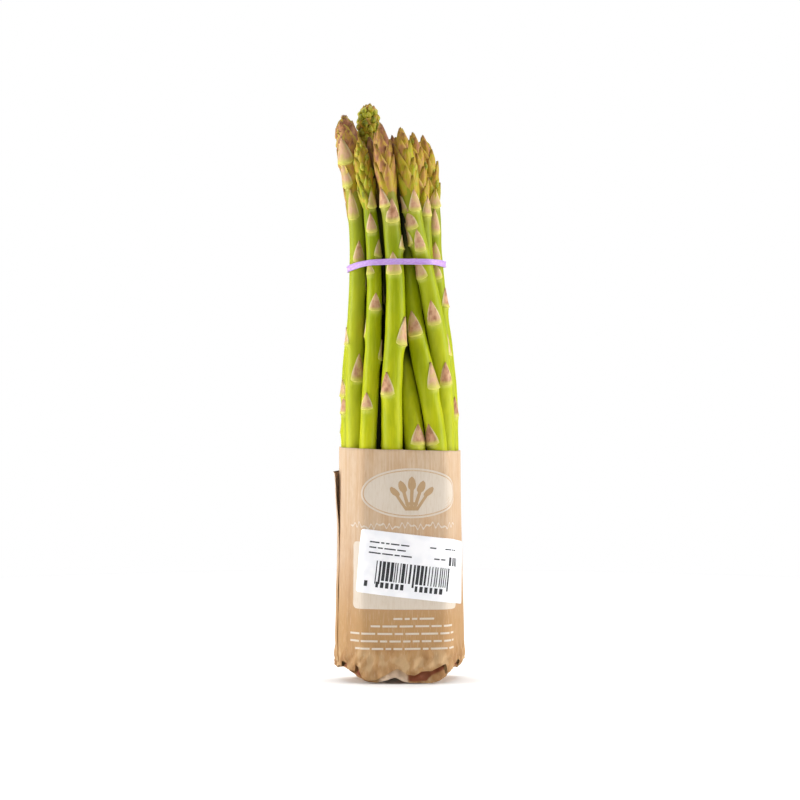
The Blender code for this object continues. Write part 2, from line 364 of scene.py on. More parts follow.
def new_material(name: str) -> tuple[bpy.types.Material, bpy.types.NodeTree, bpy.types.Node]:
    """Makes an empty node material, and returns it, its tree and its Principled shader."""
    material = bpy.data.materials.new(name)
    material.use_nodes = True
    tree = material.node_tree
    tree.nodes.clear()
    shader = add_node(tree, "ShaderNodeBsdfPrincipled")
    add_node(tree, "ShaderNodeOutputMaterial", inputs={"Surface": shader.outputs["BSDF"]})
    return material, tree, shader


def object_noise(
    tree: bpy.types.NodeTree,
    sizes: tuple[float, float, float],
    detail: float = 2.0,
    roughness: float = 0.5,
    shift: float = 0.0,
) -> bpy.types.NodeSocket:
    """Noise in the object's own metres.

    Args:
        tree: The material's tree.
        sizes: The size of its grains along x, y and z, in millimetres.
        detail: Octaves of finer noise.
        roughness: How strong the finer noise is.
        shift: Moves the pattern, so that two noises differ.

    Returns:
        The noise's value, about 0.3 to 0.7.
    """
    place = add_node(tree, "ShaderNodeTexCoord").outputs["Object"]
    scaled = add_node(
        tree,
        "ShaderNodeMapping",
        inputs={
            "Vector": place,
            "Location": (shift, shift, shift),
            "Scale": tuple(1 / (size * MM) for size in sizes),
        },
    )
    return add_node(
        tree,
        "ShaderNodeTexNoise",
        inputs={
            "Vector": scaled.outputs["Vector"],
            "Scale": 1.0,
            "Detail": detail,
            "Roughness": roughness,
        },
    ).outputs["Fac"]


def stretch(
    tree: bpy.types.NodeTree,
    value: bpy.types.NodeSocket,
    low: float,
    high: float,
    to: tuple[float, float] = (0.0, 1.0),
) -> bpy.types.NodeSocket:
    """Maps a value's range onto another, eased at both ends, and returns the socket."""
    return add_node(
        tree,
        "ShaderNodeMapRange",
        {"interpolation_type": "SMOOTHSTEP"},
        {"Value": value, "From Min": low, "From Max": high, "To Min": to[0], "To Max": to[1]},
    ).outputs["Result"]


def blend_colour(
    tree: bpy.types.NodeTree,
    factor: bpy.types.NodeSocket | float,
    first: bpy.types.NodeSocket | str,
    second: bpy.types.NodeSocket | str,
    mode: str = "MIX",
) -> bpy.types.NodeSocket:
    """Mixes two colours, each a socket or a hex value, and returns the result's socket."""
    node = add_node(tree, "ShaderNodeMix", {"data_type": "RGBA", "blend_type": mode})
    for key, value in ((0, factor), (6, first), (7, second)):
        if isinstance(value, bpy.types.NodeSocket):
            tree.links.new(value, node.inputs[key])
        else:
            node.inputs[key].default_value = linear(value) if isinstance(value, str) else value
    return node.outputs[2]


def layered(
    tree: bpy.types.NodeTree,
    colour: bpy.types.NodeSocket | str,
    layers: tuple[tuple[bpy.types.NodeSocket, float, float, float, str], ...],
) -> bpy.types.NodeSocket:
    """Blends further colours over a first one, in turn.

    Args:
        tree: The material's tree.
        colour: The first colour.
        layers: For each: the value that places it, the values at which it starts and is full,
            its share where it is full, and its colour.

    Returns:
        The last colour's socket.
    """
    for value, low, high, share, other in layers:
        colour = blend_colour(tree, stretch(tree, value, low, high, (0.0, share)), colour, other)
    return colour


def relief(
    tree: bpy.types.NodeTree, height: bpy.types.NodeSocket, depth: float, strength: float
) -> bpy.types.NodeSocket:
    """A bump of a given depth in millimetres, as the normal's socket."""
    return add_node(
        tree,
        "ShaderNodeBump",
        inputs={"Height": height, "Distance": depth * MM, "Strength": strength},
    ).outputs["Normal"]


def dress(
    shader: bpy.types.Node,
    colour: bpy.types.NodeSocket,
    roughness: float,
    ior: float,
    normal: bpy.types.NodeSocket | None = None,
) -> None:
    """Puts a colour, a roughness, an index of refraction and any relief on a shader."""
    tree = shader.id_data
    tree.links.new(colour, shader.inputs["Base Color"])
    if normal:
        tree.links.new(normal, shader.inputs["Normal"])
    shader.inputs["Roughness"].default_value = roughness
    shader.inputs["IOR"].default_value = ior


@dataclass(frozen=True)
class StemSkin:
    """Asparagus stem: smooth waxy skin over pale fibres that run the length of the stem.

    The wax gives a broad soft gloss, and the flesh under it lets a little light through.
    """

    name: str = "asparagus_stem_waxy_skin"
    greens: tuple[tuple[float, str], ...] = (
        (0.0, "#bfc20c"), (0.22, "#b2b904"), (0.5, "#a5af00"), (0.78, "#8f9c00"), (1.0, "#878a02"),
    )
    low: float = 104.0  # mm above the base, where the greens start
    high: float = 246.0  # mm, where they end
    fibre: tuple[float, float, float] = (0.75, 0.75, 16.0)  # mm: threads 0.75 wide, 16 long
    mottle: tuple[float, float, float] = (5.0, 5.0, 14.0)  # mm
    ridge: str = "#d2cf74"
    blush: str = "#b59a5c"
    shadow: str = "#0e1602"
    roughness: float = 0.42
    ior: float = 1.36  # plant wax
    gloss: float = 0.3  # the wax lies in a thin, dull bloom

    def build(self) -> bpy.types.Material:
        """Returns the material."""
        material, tree, shader = new_material(self.name)
        place = add_node(tree, "ShaderNodeTexCoord").outputs["Object"]
        height = add_node(tree, "ShaderNodeSeparateXYZ", inputs={0: place}).outputs["Z"]
        climb = stretch(tree, height, self.low * MM, self.high * MM)
        colour = ramp(tree, climb, self.greens)
        mottle = stretch(tree, object_noise(tree, self.mottle, 3.0), 0.3, 0.7)
        fibres = object_noise(tree, self.fibre, 3.0, 0.6)
        tone = attribute(tree, "tone")
        colour = layered(tree, colour, (
            (mottle, 1.0, 0.0, 0.30, "#6f8c04"),
            (fibres, 0.50, 0.74, 0.22, "#c8cd4a"),
            (fibres, 0.50, 0.28, 0.22, "#6f8604"),
            (tone, 0.5, 1.0, 0.5, "#c0c43c"),
            (tone, 0.5, 0.0, 0.5, "#788a06"),
            (attribute(tree, "ridge"), 0.0, 1.0, 0.45, self.ridge),
            (attribute(tree, "blush"), 0.0, 1.0, 0.7, self.blush),
            # Painted shade: stems far within the bundle darken towards near black, as in the gaps'
            # shadow.
            (attribute(tree, "inside"), 0.0, 1.0, 0.95, self.shadow),
        ))
        dress(shader, colour, self.roughness, self.ior, relief(tree, fibres, 0.10, 0.5))
        rough = stretch(tree, fibres, 0.3, 0.7, (self.roughness - 0.05, self.roughness + 0.10))
        tree.links.new(rough, shader.inputs["Roughness"])
        shader.inputs["Specular IOR Level"].default_value = self.gloss
        shader.inputs["Subsurface Weight"].default_value = 0.12
        shader.inputs["Subsurface Radius"].default_value = (1.0, 0.9, 0.3)
        shader.inputs["Subsurface Scale"].default_value = 1.2 * MM
        return material


@dataclass(frozen=True)
class ScaleLeaf:
    """Asparagus scale leaf: a dry, thin bract with a rosy or tan middle and pale papery edges."""

    name: str = "asparagus_scale_leaf_papery"
    middles: tuple[tuple[float, str], ...] = (
        (0.0, "#b9b548"), (0.3, "#c4ac66"), (0.6, "#cfa480"), (0.8, "#bf8c6a"), (1.0, "#9c6a4a"),
    )
    edge: str = "#e4daa6"
    base: str = "#cfcb5c"
    vein: str = "#e3c8a4"
    tip: str = "#8a6038"
    roughness: float = 0.5
    ior: float = 1.45  # dry plant fibre
    gloss: float = 0.3  # papery, nearly matt
    shadow: str = "#241c08"

    def build(self) -> bpy.types.Material:
        """Returns the material."""
        material, tree, shader = new_material(self.name)
        uv = add_node(tree, "ShaderNodeUVMap", {"uv_map": "UVMap"}).outputs["UV"]
        axes = add_node(tree, "ShaderNodeSeparateXYZ", inputs={0: uv})
        across = maths(tree, "ABSOLUTE", maths(tree, "SUBTRACT", axes.outputs["X"], 0.5))
        up = axes.outputs["Y"]
        grain = object_noise(tree, (0.45, 0.45, 5.0), 2.0)  # veins 0.45 mm apart, drawn coarse
        cloud = object_noise(tree, (2.2, 2.2, 3.0), 2.0, shift=3.1)
        patches = stretch(tree, cloud, 0.3, 0.7, (-0.22, 0.22))
        stain = maths(tree, "ADD", attribute(tree, "hue"), patches)
        colour = layered(tree, ramp(tree, stain, self.middles), (
            (grain, 0.45, 0.72, 0.25, self.vein),
            (across, 0.34, 0.49, 0.75, self.edge),
            # Towards the leaf's base: its own paler base on the stem leaves, painted shade under
            # the bract above on the tip bracts.
            (up, 0.24, 0.03, 0.9, self.base),
            (up, 0.72, 1.0, 0.5, self.tip),
            # Painted shade: leaves far within the bundle darken, as in the gaps' shadow.
            (attribute(tree, "inside"), 0.0, 1.0, 0.8, self.shadow),
        ))
        dress(shader, colour, self.roughness, self.ior, relief(tree, grain, 0.12, 0.5))
        shader.inputs["Specular IOR Level"].default_value = self.gloss
        return material


@dataclass(frozen=True)
class Bud:
    """Asparagus bud: the soft bright-green side shoots that swell between the tip's bracts."""

    name: str = "asparagus_bud_soft"
    roughness: float = 0.5
    ior: float = 1.42
    greens: tuple[tuple[float, str], ...] = (
        (0.0, "#787c10"), (0.45, "#a4a41c"), (0.8, "#c4b83c"), (1.0, "#b58a44"),
    )

    def build(self) -> bpy.types.Material:
        """Returns the material."""
        material, tree, shader = new_material(self.name)
        cloud = object_noise(tree, (1.6, 1.6, 2.4), 3.0)
        patches = stretch(tree, cloud, 0.3, 0.7, (-0.4, 0.4))
        colour = ramp(tree, maths(tree, "ADD", attribute(tree, "hue"), patches), self.greens)
        dress(shader, colour, self.roughness, self.ior, relief(tree, cloud, 0.25, 0.6))
        return material


@dataclass(frozen=True)
class KraftPaper:
    """Machine-glazed brown kraft paper, about 80 g/m2: long wood fibres and a low dull sheen."""

    name: str = "kraft_paper_uncoated"
    top: str = "#cdb497"
    middle: str = "#bfa285"
    shaded_foot_colour: str = "#ad8655"
    fibre: tuple[float, float, float] = (0.5, 0.5, 5.0)  # mm: flecks 0.5 wide and 5 long
    cloud: tuple[float, float, float] = (9.0, 9.0, 14.0)  # mm, uneven pulp
    crumple_light_size: tuple[float, float, float] = (5.0, 5.0, 8.0)  # mm, painted shade and highlight in patches, standing in for the crumpling near the foot
    rib: tuple[float, float, float] = (1.1, 1.1, 120.0)  # mm: the ribbed paper's lines, 1.1 apart
    tall: float = 104.0  # mm, where the top's colour is reached
    crumple_light_heights: tuple[float, float] = (22.0, 6.0)  # mm, where the painted crumple shade and highlight start and are full
    roughness: float = 0.72
    ior: float = 1.47  # cellulose

    def build(self) -> bpy.types.Material:
        """Returns the material."""
        material, tree, shader = new_material(self.name)
        place = add_node(tree, "ShaderNodeTexCoord").outputs["Object"]
        height = add_node(tree, "ShaderNodeSeparateXYZ", inputs={0: place}).outputs["Z"]
        climb = stretch(tree, height, 0.0, self.tall * MM)
        # Painted shade: the paper darkens from its top down to its foot.
        bands = ((0.0, self.shaded_foot_colour), (0.16, self.shaded_foot_colour), (0.5, self.middle), (1.0, self.top))
        fibres = object_noise(tree, self.fibre, 4.0, 0.65)
        pulp = object_noise(tree, self.cloud, 3.0, 0.55, 5.2)
        ribs = object_noise(tree, self.rib, 1.0, 0.5, 9.4)
        colour = layered(tree, ramp(tree, climb, bands), (
            (pulp, 0.35, 0.68, 0.30, "#b98d5e"),
            (fibres, 0.52, 0.72, 0.35, "#dcc6a8"),
            (fibres, 0.48, 0.30, 0.30, "#a87c50"),
            (ribs, 0.40, 0.62, 0.28, "#b88c5e"),
        ))
        low = stretch(tree, height, self.crumple_light_heights[0] * MM, self.crumple_light_heights[1] * MM)
        painted_crumple_light = object_noise(tree, self.crumple_light_size, 1.5, 0.5, 3.3)
        # Painted shade and painted highlight: dark and light patches near the foot, as on lit
        # crumples.
        for start, end, tone in ((0.50, 0.60, "#84521e"), (0.48, 0.38, "#d2b48a")):
            painted_crumple_mask = maths(tree, "MULTIPLY", low, stretch(tree, painted_crumple_light, start, end, (0.0, 0.5)))
            colour = blend_colour(tree, painted_crumple_mask, colour, tone)
        colour = layered(tree, colour, (
            (attribute(tree, "pale"), 0.0, 1.0, 0.6, "#e6d3bd"),
            # Painted shade in the gaps between the wall and the folded sheet.
            (attribute(tree, "deep"), 0.0, 1.0, 0.92, "#763008"),
        ))
        dress(shader, colour, self.roughness, self.ior, relief(tree, fibres, 0.06, 0.45))
        return material


@dataclass(frozen=True)
class Ink:
    """Flexographic or thermal print: a thin flat film that lets a little of the paper show."""

    name: str
    colour: str
    worn: str
    share: float = 0.35
    roughness: float = 0.65
    ior: float = 1.5

    def build(self) -> bpy.types.Material:
        """Returns the material."""
        material, tree, shader = new_material(self.name)
        fibres = object_noise(tree, (0.5, 0.5, 5.0), 4.0, 0.65)
        colour = layered(tree, self.colour, ((fibres, 0.45, 0.70, self.share, self.worn),))
        dress(shader, colour, self.roughness, self.ior)
        return material


@dataclass(frozen=True)
class LabelPaper:
    """Coated white label stock: smooth, satin, faintly cool."""

    name: str = "label_paper_satin"
    colour: str = "#f8f7f9"
    shade: str = "#efeff3"
    roughness: float = 0.42
    ior: float = 1.5

    def build(self) -> bpy.types.Material:
        """Returns the material."""
        material, tree, shader = new_material(self.name)
        cloud = object_noise(tree, (6.0, 6.0, 6.0), 2.0)
        colour = layered(tree, self.colour, ((cloud, 0.35, 0.65, 1.0, self.shade),))
        dress(shader, colour, self.roughness, self.ior, relief(tree, cloud, 0.05, 0.3))
        return material


@dataclass(frozen=True)
class Rubber:
    """Dyed natural rubber, cut from tube: a matt skin with a chalky bloom on its faces."""

    name: str = "rubber_band_natural_dyed"
    colour: str = "#c298df"
    bloom: str = "#d5b6ec"
    roughness: float = 0.55
    ior: float = 1.52

    def build(self) -> bpy.types.Material:
        """Returns the material."""
        material, tree, shader = new_material(self.name)
        dust = object_noise(tree, (1.4, 1.4, 0.6), 4.0, 0.6)
        colour = layered(tree, self.colour, ((dust, 0.4, 0.7, 1.0, self.bloom),))
        dress(shader, colour, self.roughness, self.ior, relief(tree, dust, 0.08, 0.5))
        return material


@dataclass(frozen=True)
class Backdrop:
    """Studio sweep: painted matt white board."""

    name: str = "studio_board_matt_white"
    colour: str = "#fdfdfd"
    roughness: float = 0.9

    def build(self) -> bpy.types.Material:
        """Returns the material."""
        material, _, shader = new_material(self.name)
        shader.inputs["Base Color"].default_value = linear(self.colour)
        shader.inputs["Roughness"].default_value = self.roughness
        return material


# ---------------------------------------------------------------- spears


LEAF_BACK = 0.86  # stem radii from the stem's middle to a leaf's hidden back


def scale_leaf_points(
    half_angle: float, rows: int, columns: int, lift: float, lip: float,
    start: float = 0.0, swell: float = 0.0,
) -> tuple[np.ndarray, list[tuple[int, ...]], np.ndarray]:
    """Shapes one scale leaf on a stem of radius 1: a pointed shield, closed behind.

    The stem's axis is +Z and the leaf faces -Y, from its base at height 0 to its tip at 1.

    Args:
        half_angle: How far its base reaches round the stem to each side, in degrees.
        rows: Rows of faces from base to tip.
        columns: Columns of faces across it.
        lift: How far its tip stands off the stem, in stem radii.
        lip: How far the ridge under its base stands off the stem.
        start: The leaf coordinate at its base, more than 0 where the base is never seen.
        swell: How far its middle bulges out.

    Returns:
        Its points, its faces, and the two leaf coordinates of each point.
    """
    points, places = [], []
    heights = np.concatenate(([-0.07, 0.0], np.linspace(0.09, 0.93, rows - 2)))
    for v in heights:
        width = half_angle * (1 - max(v, 0)) ** 0.85 * (1 + 0.12 * math.sin(math.pi * max(v, 0)))
        shelf = lip * math.exp(-max(v, 0) / 0.38) if v >= 0 else -0.02
        for column in range(columns + 1):
            u = 2 * column / columns - 1
            angle = math.radians(width * u * (0.9 if v < 0 else 1.0))
            crown = 1 - abs(u) ** 2.6
            out = 1.005 + shelf * (0.25 + 0.75 * crown) + (0.02 + lift * max(v, 0) ** 1.5) * crown
            out += swell * math.sin(math.pi * max(v, 0)) * (0.4 + 0.6 * crown)
            sag = -0.09 * crown + 0.04
            height = v + sag * (1 - max(v, 0))
            points.append((out * math.sin(angle), -out * math.cos(angle), height))
            places.append((0.5 + 0.5 * u, start + (1 - start) * max(v, 0.0)))
    points.append((0.0, -(1.01 + lift), 1.0))
    places.append((0.5, 1.0))
    tip = len(points) - 1
    faces = grid_faces(rows, columns + 1, ring=False)
    top = (rows - 1) * (columns + 1)
    faces += [(top + c, top + c + 1, tip) for c in range(columns)]
    rim = (
        list(range(columns + 1))
        + [r * (columns + 1) + columns for r in range(1, rows)]
        + [tip]
        + [r * (columns + 1) for r in range(rows - 1, 0, -1)]
    )
    behind = len(points)
    for number in rim:
        x, y, z = points[number]
        sunk = LEAF_BACK / math.hypot(x, y)
        points.append((x * sunk, y * sunk, z * 0.96 + 0.01))
        places.append(places[number])
    points.append((0.0, -0.80, 0.4))
    places.append((0.5, 0.4))
    centre = len(points) - 1
    count = len(rim)
    for i in range(count):
        j = (i + 1) % count
        faces.append((rim[j], rim[i], behind + i, behind + j))
        faces.append((behind + j, behind + i, centre))
    return np.array(points), faces, np.array(places)


def bud_points() -> tuple[np.ndarray, list[tuple[int, ...]], np.ndarray]:
    """Shapes one bud against a stem of radius 1: a small pointed egg with its base at height 0."""
    rings, sides, points = 4, 7, []
    for ring in range(1, rings + 1):
        v = ring / (rings + 1)
        radius = 0.34 * math.sin(math.pi * v ** 0.75)
        for side in range(sides):
            turn = 2 * math.pi * side / sides
            points.append((radius * math.cos(turn), -0.92 + 0.8 * radius * math.sin(turn), v))
    faces = grid_faces(rings, sides, ring=True)
    points += [(0.0, -0.92, 0.0), (0.0, -0.90, 1.0)]
    low, high = len(points) - 2, len(points) - 1
    last = (rings - 1) * sides
    for side in range(sides):
        after = (side + 1) % sides
        faces.append((low, after, side))
        faces.append((last + side, last + after, high))
    return np.array(points), faces, np.array([(0.5, p[2]) for p in points])


Place = tuple[Vector, Euler, tuple[float, float, float], float]  # where, turn, size and hue


class Pattern:
    """A small shape that a node tree repeats over points, each with its turn, size and hue."""

    def __init__(
        self, name: str, shape: tuple[np.ndarray, list[tuple[int, ...]], np.ndarray], sharp: float
    ) -> None:
        """Makes the shape and its tree.

        Args:
            name: The shape's name.
            shape: Its points, faces and UV pairs.
            sharp: The angle in degrees from which its edges stay crisp.
        """
        points, faces, places = shape
        self.source = mesh_object(name, points, faces, sharp)
        set_uv(self.source.data, places)
        self.tree = bpy.data.node_groups.new(name + "_scatter", "GeometryNodeTree")
        face = self.tree.interface
        face.new_socket("Points", in_out="INPUT", socket_type="NodeSocketGeometry")
        self.sockets = {
            label: face.new_socket(label, in_out="INPUT", socket_type=kind).identifier
            for label, kind in (
                ("Shape", "NodeSocketObject"),
                ("Size Spread", "NodeSocketFloat"),
                ("Seed", "NodeSocketInt"),
                ("Finish", "NodeSocketMaterial"),
            )
        }
        face.new_socket("Pieces", in_out="OUTPUT", socket_type="NodeSocketGeometry")
        self.wire()

    def wire(self) -> None:
        """Joins the tree's nodes: place, turn and size each copy, then make them real."""
        tree = self.tree
        given = add_node(tree, "NodeGroupInput").outputs
        kind, vector = "GeometryNodeInputNamedAttribute", {"data_type": "FLOAT_VECTOR"}
        turn, size = (
            add_node(tree, kind, vector, {"Name": name}).outputs["Attribute"]
            for name in ("turn", "size")
        )
        rotation = add_node(tree, "FunctionNodeEulerToRotation", inputs={0: turn})
        low, high = (
            maths(tree, operation, 1.0, given["Size Spread"]) for operation in ("SUBTRACT", "ADD")
        )
        spread = add_node(
            tree,
            "FunctionNodeRandomValue",
            {"data_type": "FLOAT"},
            {2: low, 3: high, "Seed": given["Seed"]},
        ).outputs[1]
        scaled = add_node(tree, "ShaderNodeCombineXYZ", inputs={"X": spread, "Y": 1.0, "Z": spread})
        sized = add_node(
            tree,
            "ShaderNodeVectorMath",
            {"operation": "MULTIPLY"},
            {0: size, 1: scaled.outputs[0]},
        )
        shape = add_node(tree, "GeometryNodeObjectInfo", inputs={"Object": given["Shape"]})
        copies = add_node(
            tree,
            "GeometryNodeInstanceOnPoints",
            inputs={
                "Points": given["Points"],
                "Instance": shape.outputs["Geometry"],
                "Rotation": rotation.outputs[0],
                "Scale": sized.outputs[0],
            },
        )
        real = add_node(
            tree, "GeometryNodeRealizeInstances", inputs={0: copies.outputs["Instances"]}
        )
        dressed = add_node(
            tree,
            "GeometryNodeSetMaterial",
            inputs={"Geometry": real.outputs[0], "Material": given["Finish"]},
        )
        add_node(tree, "NodeGroupOutput", inputs={0: dressed.outputs[0]})

    def scatter(
        self,
        name: str,
        places: list[Place],
        spread: float,
        seed: int,
        finish: bpy.types.Material,
        crowd: "Crowd",
    ) -> bpy.types.Object:
        """Repeats the shape.

        Args:
            name: The new piece's name.
            places: Each copy's place, turn, size and hue.
            spread: How much a copy's width and length may differ from its size, as a share.
            seed: The seed of that difference.
            finish: The copies' material.
            crowd: The bundle, whose outline sets the painted shade on the copies that lie far
                within it.

        Returns:
            One plain mesh object at the origin.
        """
        points = bpy.data.meshes.new(name + "_points")
        points.from_pydata([tuple(place) for place, _, _, _ in places], [], [])
        set_attribute(points, "turn", np.array([tuple(turn) for _, turn, _, _ in places]))
        set_attribute(points, "size", np.array([size for _, _, size, _ in places]))
        set_attribute(points, "hue", np.array([hue for _, _, _, hue in places]))
        middles = np.array([
            place + turn.to_matrix() @ Vector((0, -size[1], size[2] / 2))
            for place, turn, size, _ in places
        ])
        # Painted shade in the gaps, by how far within the bundle each copy lies.
        set_attribute(points, "inside", crowd.shade(middles))
        holder = placed(name + "_points", points)
        modifier = holder.modifiers.new("scatter", "NODES")
        modifier.node_group = self.tree
        for label, value in (
            ("Shape", self.source), ("Size Spread", spread), ("Seed", seed), ("Finish", finish),
        ):
            modifier[self.sockets[label]] = value
        mesh = applied(holder)
        mesh.name = name
        for spare in ("turn", "size"):
            if spare in mesh.attributes:
                mesh.attributes.remove(mesh.attributes[spare])
        bpy.data.objects.remove(holder)
        bpy.data.meshes.remove(points)
        return placed(name, mesh)

    def clear(self) -> None:
        """Removes the shape's own object once the last copies are made."""
        mesh = self.source.data
        bpy.data.objects.remove(self.source)
        bpy.data.meshes.remove(mesh)
        bpy.data.node_groups.remove(self.tree)


@dataclass(frozen=True)
class HeadLook:
    """How the bracts of a tip grow."""

    bracts: int  # bracts in the last 34 mm
    longest: float  # mm, the lowest bract
    shortest: float  # mm, the last bract
    width: float  # share of the usual width
    flare: float  # degrees that the bracts lean out
    hues: tuple[float, float]  # from the head's foot to its point
    buds: int = 0
    domed: bool = False


class Head(Enum):
    """The tips' looks."""

    BLUNT = HeadLook(32, 13.0, 4.6, 1.20, 0.5, (0.45, 0.92), 0, True)
    OPEN = HeadLook(50, 7.5, 2.6, 0.70, 5.0, (0.05, 0.35), 46, True)
    BUDDING = HeadLook(36, 9.5, 4.6, 0.78, 6.5, (0.10, 0.38), 18)
    SLENDER = HeadLook(32, 12.0, 7.0, 0.84, 3.6, (0.50, 0.86), 0)
    WIDE = HeadLook(34, 11.5, 6.5, 0.84, 5.0, (0.15, 0.52), 2)
    OLIVE = HeadLook(30, 10.5, 6.0, 0.84, 5.5, (0.30, 0.62), 4)


DOME = (  # distance from the point in mm, and share of the head's full radius
    (0.0, 0.30), (1.0, 0.62), (2.6, 0.86), (5.5, 1.02), (12.0, 1.07), (22.0, 1.0), (34.0, 0.95),
)
OGIVE = (  # the same for a pointed head
    (0.0, 0.10), (2.0, 0.40), (5.0, 0.68), (9.0, 0.92), (14.0, 1.03), (22.0, 1.0), (34.0, 0.94),
)
HEAD_FULLNESS = 1.08  # a head's radius, as a share of the stem's under it, unless it is given
HEAD_BLEND = 10.0  # mm over which the stem's girth passes into the head's
COLLAR, SWELL, WAIST = 0.125, 0.075, 0.06  # a node's edge, its swelling, and the dip under it
HEAD_CORE, TIP_CORE = 0.17, 0.30  # how much the stem narrows under the bracts, and in the tip
BRACT_SEAT = 0.86  # of the head's radius, where the bracts stand
LEAST_SEAT = 0.9  # mm, the same at the very tip


@dataclass
class Spear:
    """One asparagus spear: a stem, its scale leaves, and the bracts and buds of its tip."""

    node: str
    head: Head
    leaves: tuple[tuple[float, float, float, float], ...] = ()  # height, bearing, length, hue
    tone: float = 0.5  # 0 deep green, 1 pale
    blush: float = 0.0  # how rosy the stem is just under its tip
    head_girth: float = 0.0  # mm across the tip at its widest; 0 takes the stem's
    foot: float = 9.0  # mm, the lowest a stem starts, clear of the folded paper
    ring_step: float = 1.5  # mm
    sides: int = 28
    head_length: float = 34.0  # mm
    leaf_gap: float = 21.0  # mm between the leaves that face away
    lowest_leaf: float = 100.0  # mm, inside the sleeve's mouth
    cut_step: float = 2.5  # mm between the levels at which the solid is cut
    solid: CadSolid = field(init=False)

    def __post_init__(self) -> None:
        """Finds the spear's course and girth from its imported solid."""
        self.number = int(self.node[-2:])
        self.solid = CadSolid(self.node)
        low, high = self.solid.low[2], self.solid.high[2]
        inner = np.arange(low + 0.8 * MM, high - 0.5 * MM, self.cut_step * MM)
        middles, girths = [], []
        for z in inner:
            middle, around = CadSolid.middle(self.solid.level(z))
            middles.append(middle[:2])
            girths.append(around / (2 * math.pi))
        middles, girths = np.array(middles), np.array(girths)
        self.levels = np.concatenate(([low], inner, [high]))
        course = np.vstack((middles[0], middles, middles[-1]))
        self.course = smoothed(course, 2.2)
        radii = np.concatenate(([girths[0]], girths, [0.0]))
        smooth = smoothed(radii[:, None], 0.9)[:, 0]
        self.low, self.tip = max(float(low), self.foot * MM), float(high)
        table = np.array(DOME if self.head.value.domed else OGIVE)
        past = (high - self.levels) / MM
        under = float(np.interp(high - self.head_length * MM, self.levels, smooth))
        full = self.head_girth / 2 * MM or under * HEAD_FULLNESS
        grown = full * np.interp(past, table[:, 0], table[:, 1])
        share = ease((self.head_length - past) / HEAD_BLEND)
        self.radii = smooth * (1 - share) + grown * share
        self.neck = self.tip - self.head_length * MM
        self.leaf_table = self.leaves + self.back_leaves()

    def centre(self, z: float) -> np.ndarray:
        """The stem's middle at a height."""
        return np.array([*(np.interp(z, self.levels, column) for column in self.course.T), z])

    def radius(self, z: float) -> float:
        """The stem's radius at a height."""
        return float(np.interp(z, self.levels, self.radii))

    def upright(self, z: float) -> Matrix:
        """The turn that takes +Z to the stem's own direction at a height."""
        step = 4 * MM
        run = self.centre(min(z + step, self.tip)) - self.centre(max(z - step, self.low))
        return Vector((0, 0, 1)).rotation_difference(Vector(run).normalized()).to_matrix()

    def back_leaves(self) -> tuple[tuple[float, float, float, float], ...]:
        """Scale leaves on the sides that the given ones leave bare, evenly round the stem."""
        rng = np.random.default_rng(500 + self.number)
        made = []
        z, bearing = self.lowest_leaf + rng.uniform(0, 12), rng.uniform(0, 360)
        seen = self.leaves
        while z < self.neck / MM - 3:
            bearing = (bearing + GOLDEN_TURN) % 360
            turn = (bearing + 180) % 360 - 180
            near = [leaf for leaf in seen if abs(leaf[0] - z) < 8]
            if not near and (not seen or abs(turn) > 100):
                made.append((z, turn, rng.uniform(8.0, 11.0), rng.uniform(0.4, 0.75)))
            z += rng.uniform(0.75, 1.2) * self.leaf_gap * (0.5 if seen else 1.0)
        return tuple(made)

    def stem(self, skin: bpy.types.Material) -> bpy.types.Object:
        """Builds the stem, thickened and paler at each leaf's base.

        Args:
            skin: Its material.

        Returns:
            The stem, from its cut foot to the core of its tip.
        """
        count = int(round((self.tip - self.low) / (self.ring_step * MM)))
        heights = np.linspace(self.low + 0.3 * MM, self.tip - 2.4 * MM, count)
        angles = np.arange(self.sides) * 2 * math.pi / self.sides
        table = np.array(self.leaf_table) if self.leaf_table else np.zeros((0, 4))
        points, ridge = [], []
        lumps = wander(heights / 0.05, 40 + self.number, (1, 2, 3))
        for z, lump in zip(heights, lumps):
            radius = self.radius(z) * (0.985 + 0.012 * lump)
            radius *= 1 - HEAD_CORE * float(ease((z - self.neck + 4 * MM) / (9 * MM)))
            radius *= 1 - TIP_CORE * float(ease((z - self.tip + 15 * MM) / (10 * MM)))
            swell, pale = np.zeros(self.sides), np.zeros(self.sides)
            for height, bearing, _, _ in table:
                gap = z / MM - height
                if abs(gap) > 14:
                    continue
                off = (np.degrees(angles) - (bearing - 90) + 180) % 360 - 180
                swell += bump(off, 55) * (
                    COLLAR * bump(gap + 0.4, 1.3)
                    + SWELL * bump(gap - 1, 5)
                    - WAIST * bump(gap + 6, 4)
                )
                pale += np.exp(-((off / 42) ** 4)) * bump(gap + 0.9, 1.0)
            turn = np.array(self.upright(z))
            ring = np.stack((np.cos(angles), np.sin(angles), np.zeros(self.sides)), 1)
            points.append(self.centre(z) + (ring * (radius * (1 + swell))[:, None]) @ turn.T)
            ridge.append(np.clip(pale, 0, 1))
        points = np.vstack(points)
        faces = grid_faces(count, self.sides, ring=True)
        foot, crown = self.centre(self.low), self.centre(self.tip - 2.0 * MM)
        rim = self.centre(heights[0]) + (points[:self.sides] - self.centre(heights[0])) * 0.93
        rim[:, 2] = self.low + 0.02 * MM
        base = len(points)
        points = np.vstack((points, rim, [foot], [crown]))
        low, high, last = base + self.sides, base + self.sides + 1, (count - 1) * self.sides
        for s in range(self.sides):
            after = (s + 1) % self.sides
            faces.append((base + s, base + after, after, s))
            faces.append((low, base + after, base + s))
            faces.append((last + s, last + after, high))
        made = mesh_object(self.node + "_stem", points, faces)
        ridges = np.concatenate((np.concatenate(ridge), np.zeros(self.sides + 2)))
        set_attribute(made.data, "ridge", ridges)
        set_attribute(made.data, "tone", np.full(len(points), self.tone))
        rosy = ease((points[:, 2] - self.neck + 30 * MM) / (34 * MM))
        set_attribute(made.data, "blush", self.blush * rosy)
        made.data.materials.append(skin)
        return made

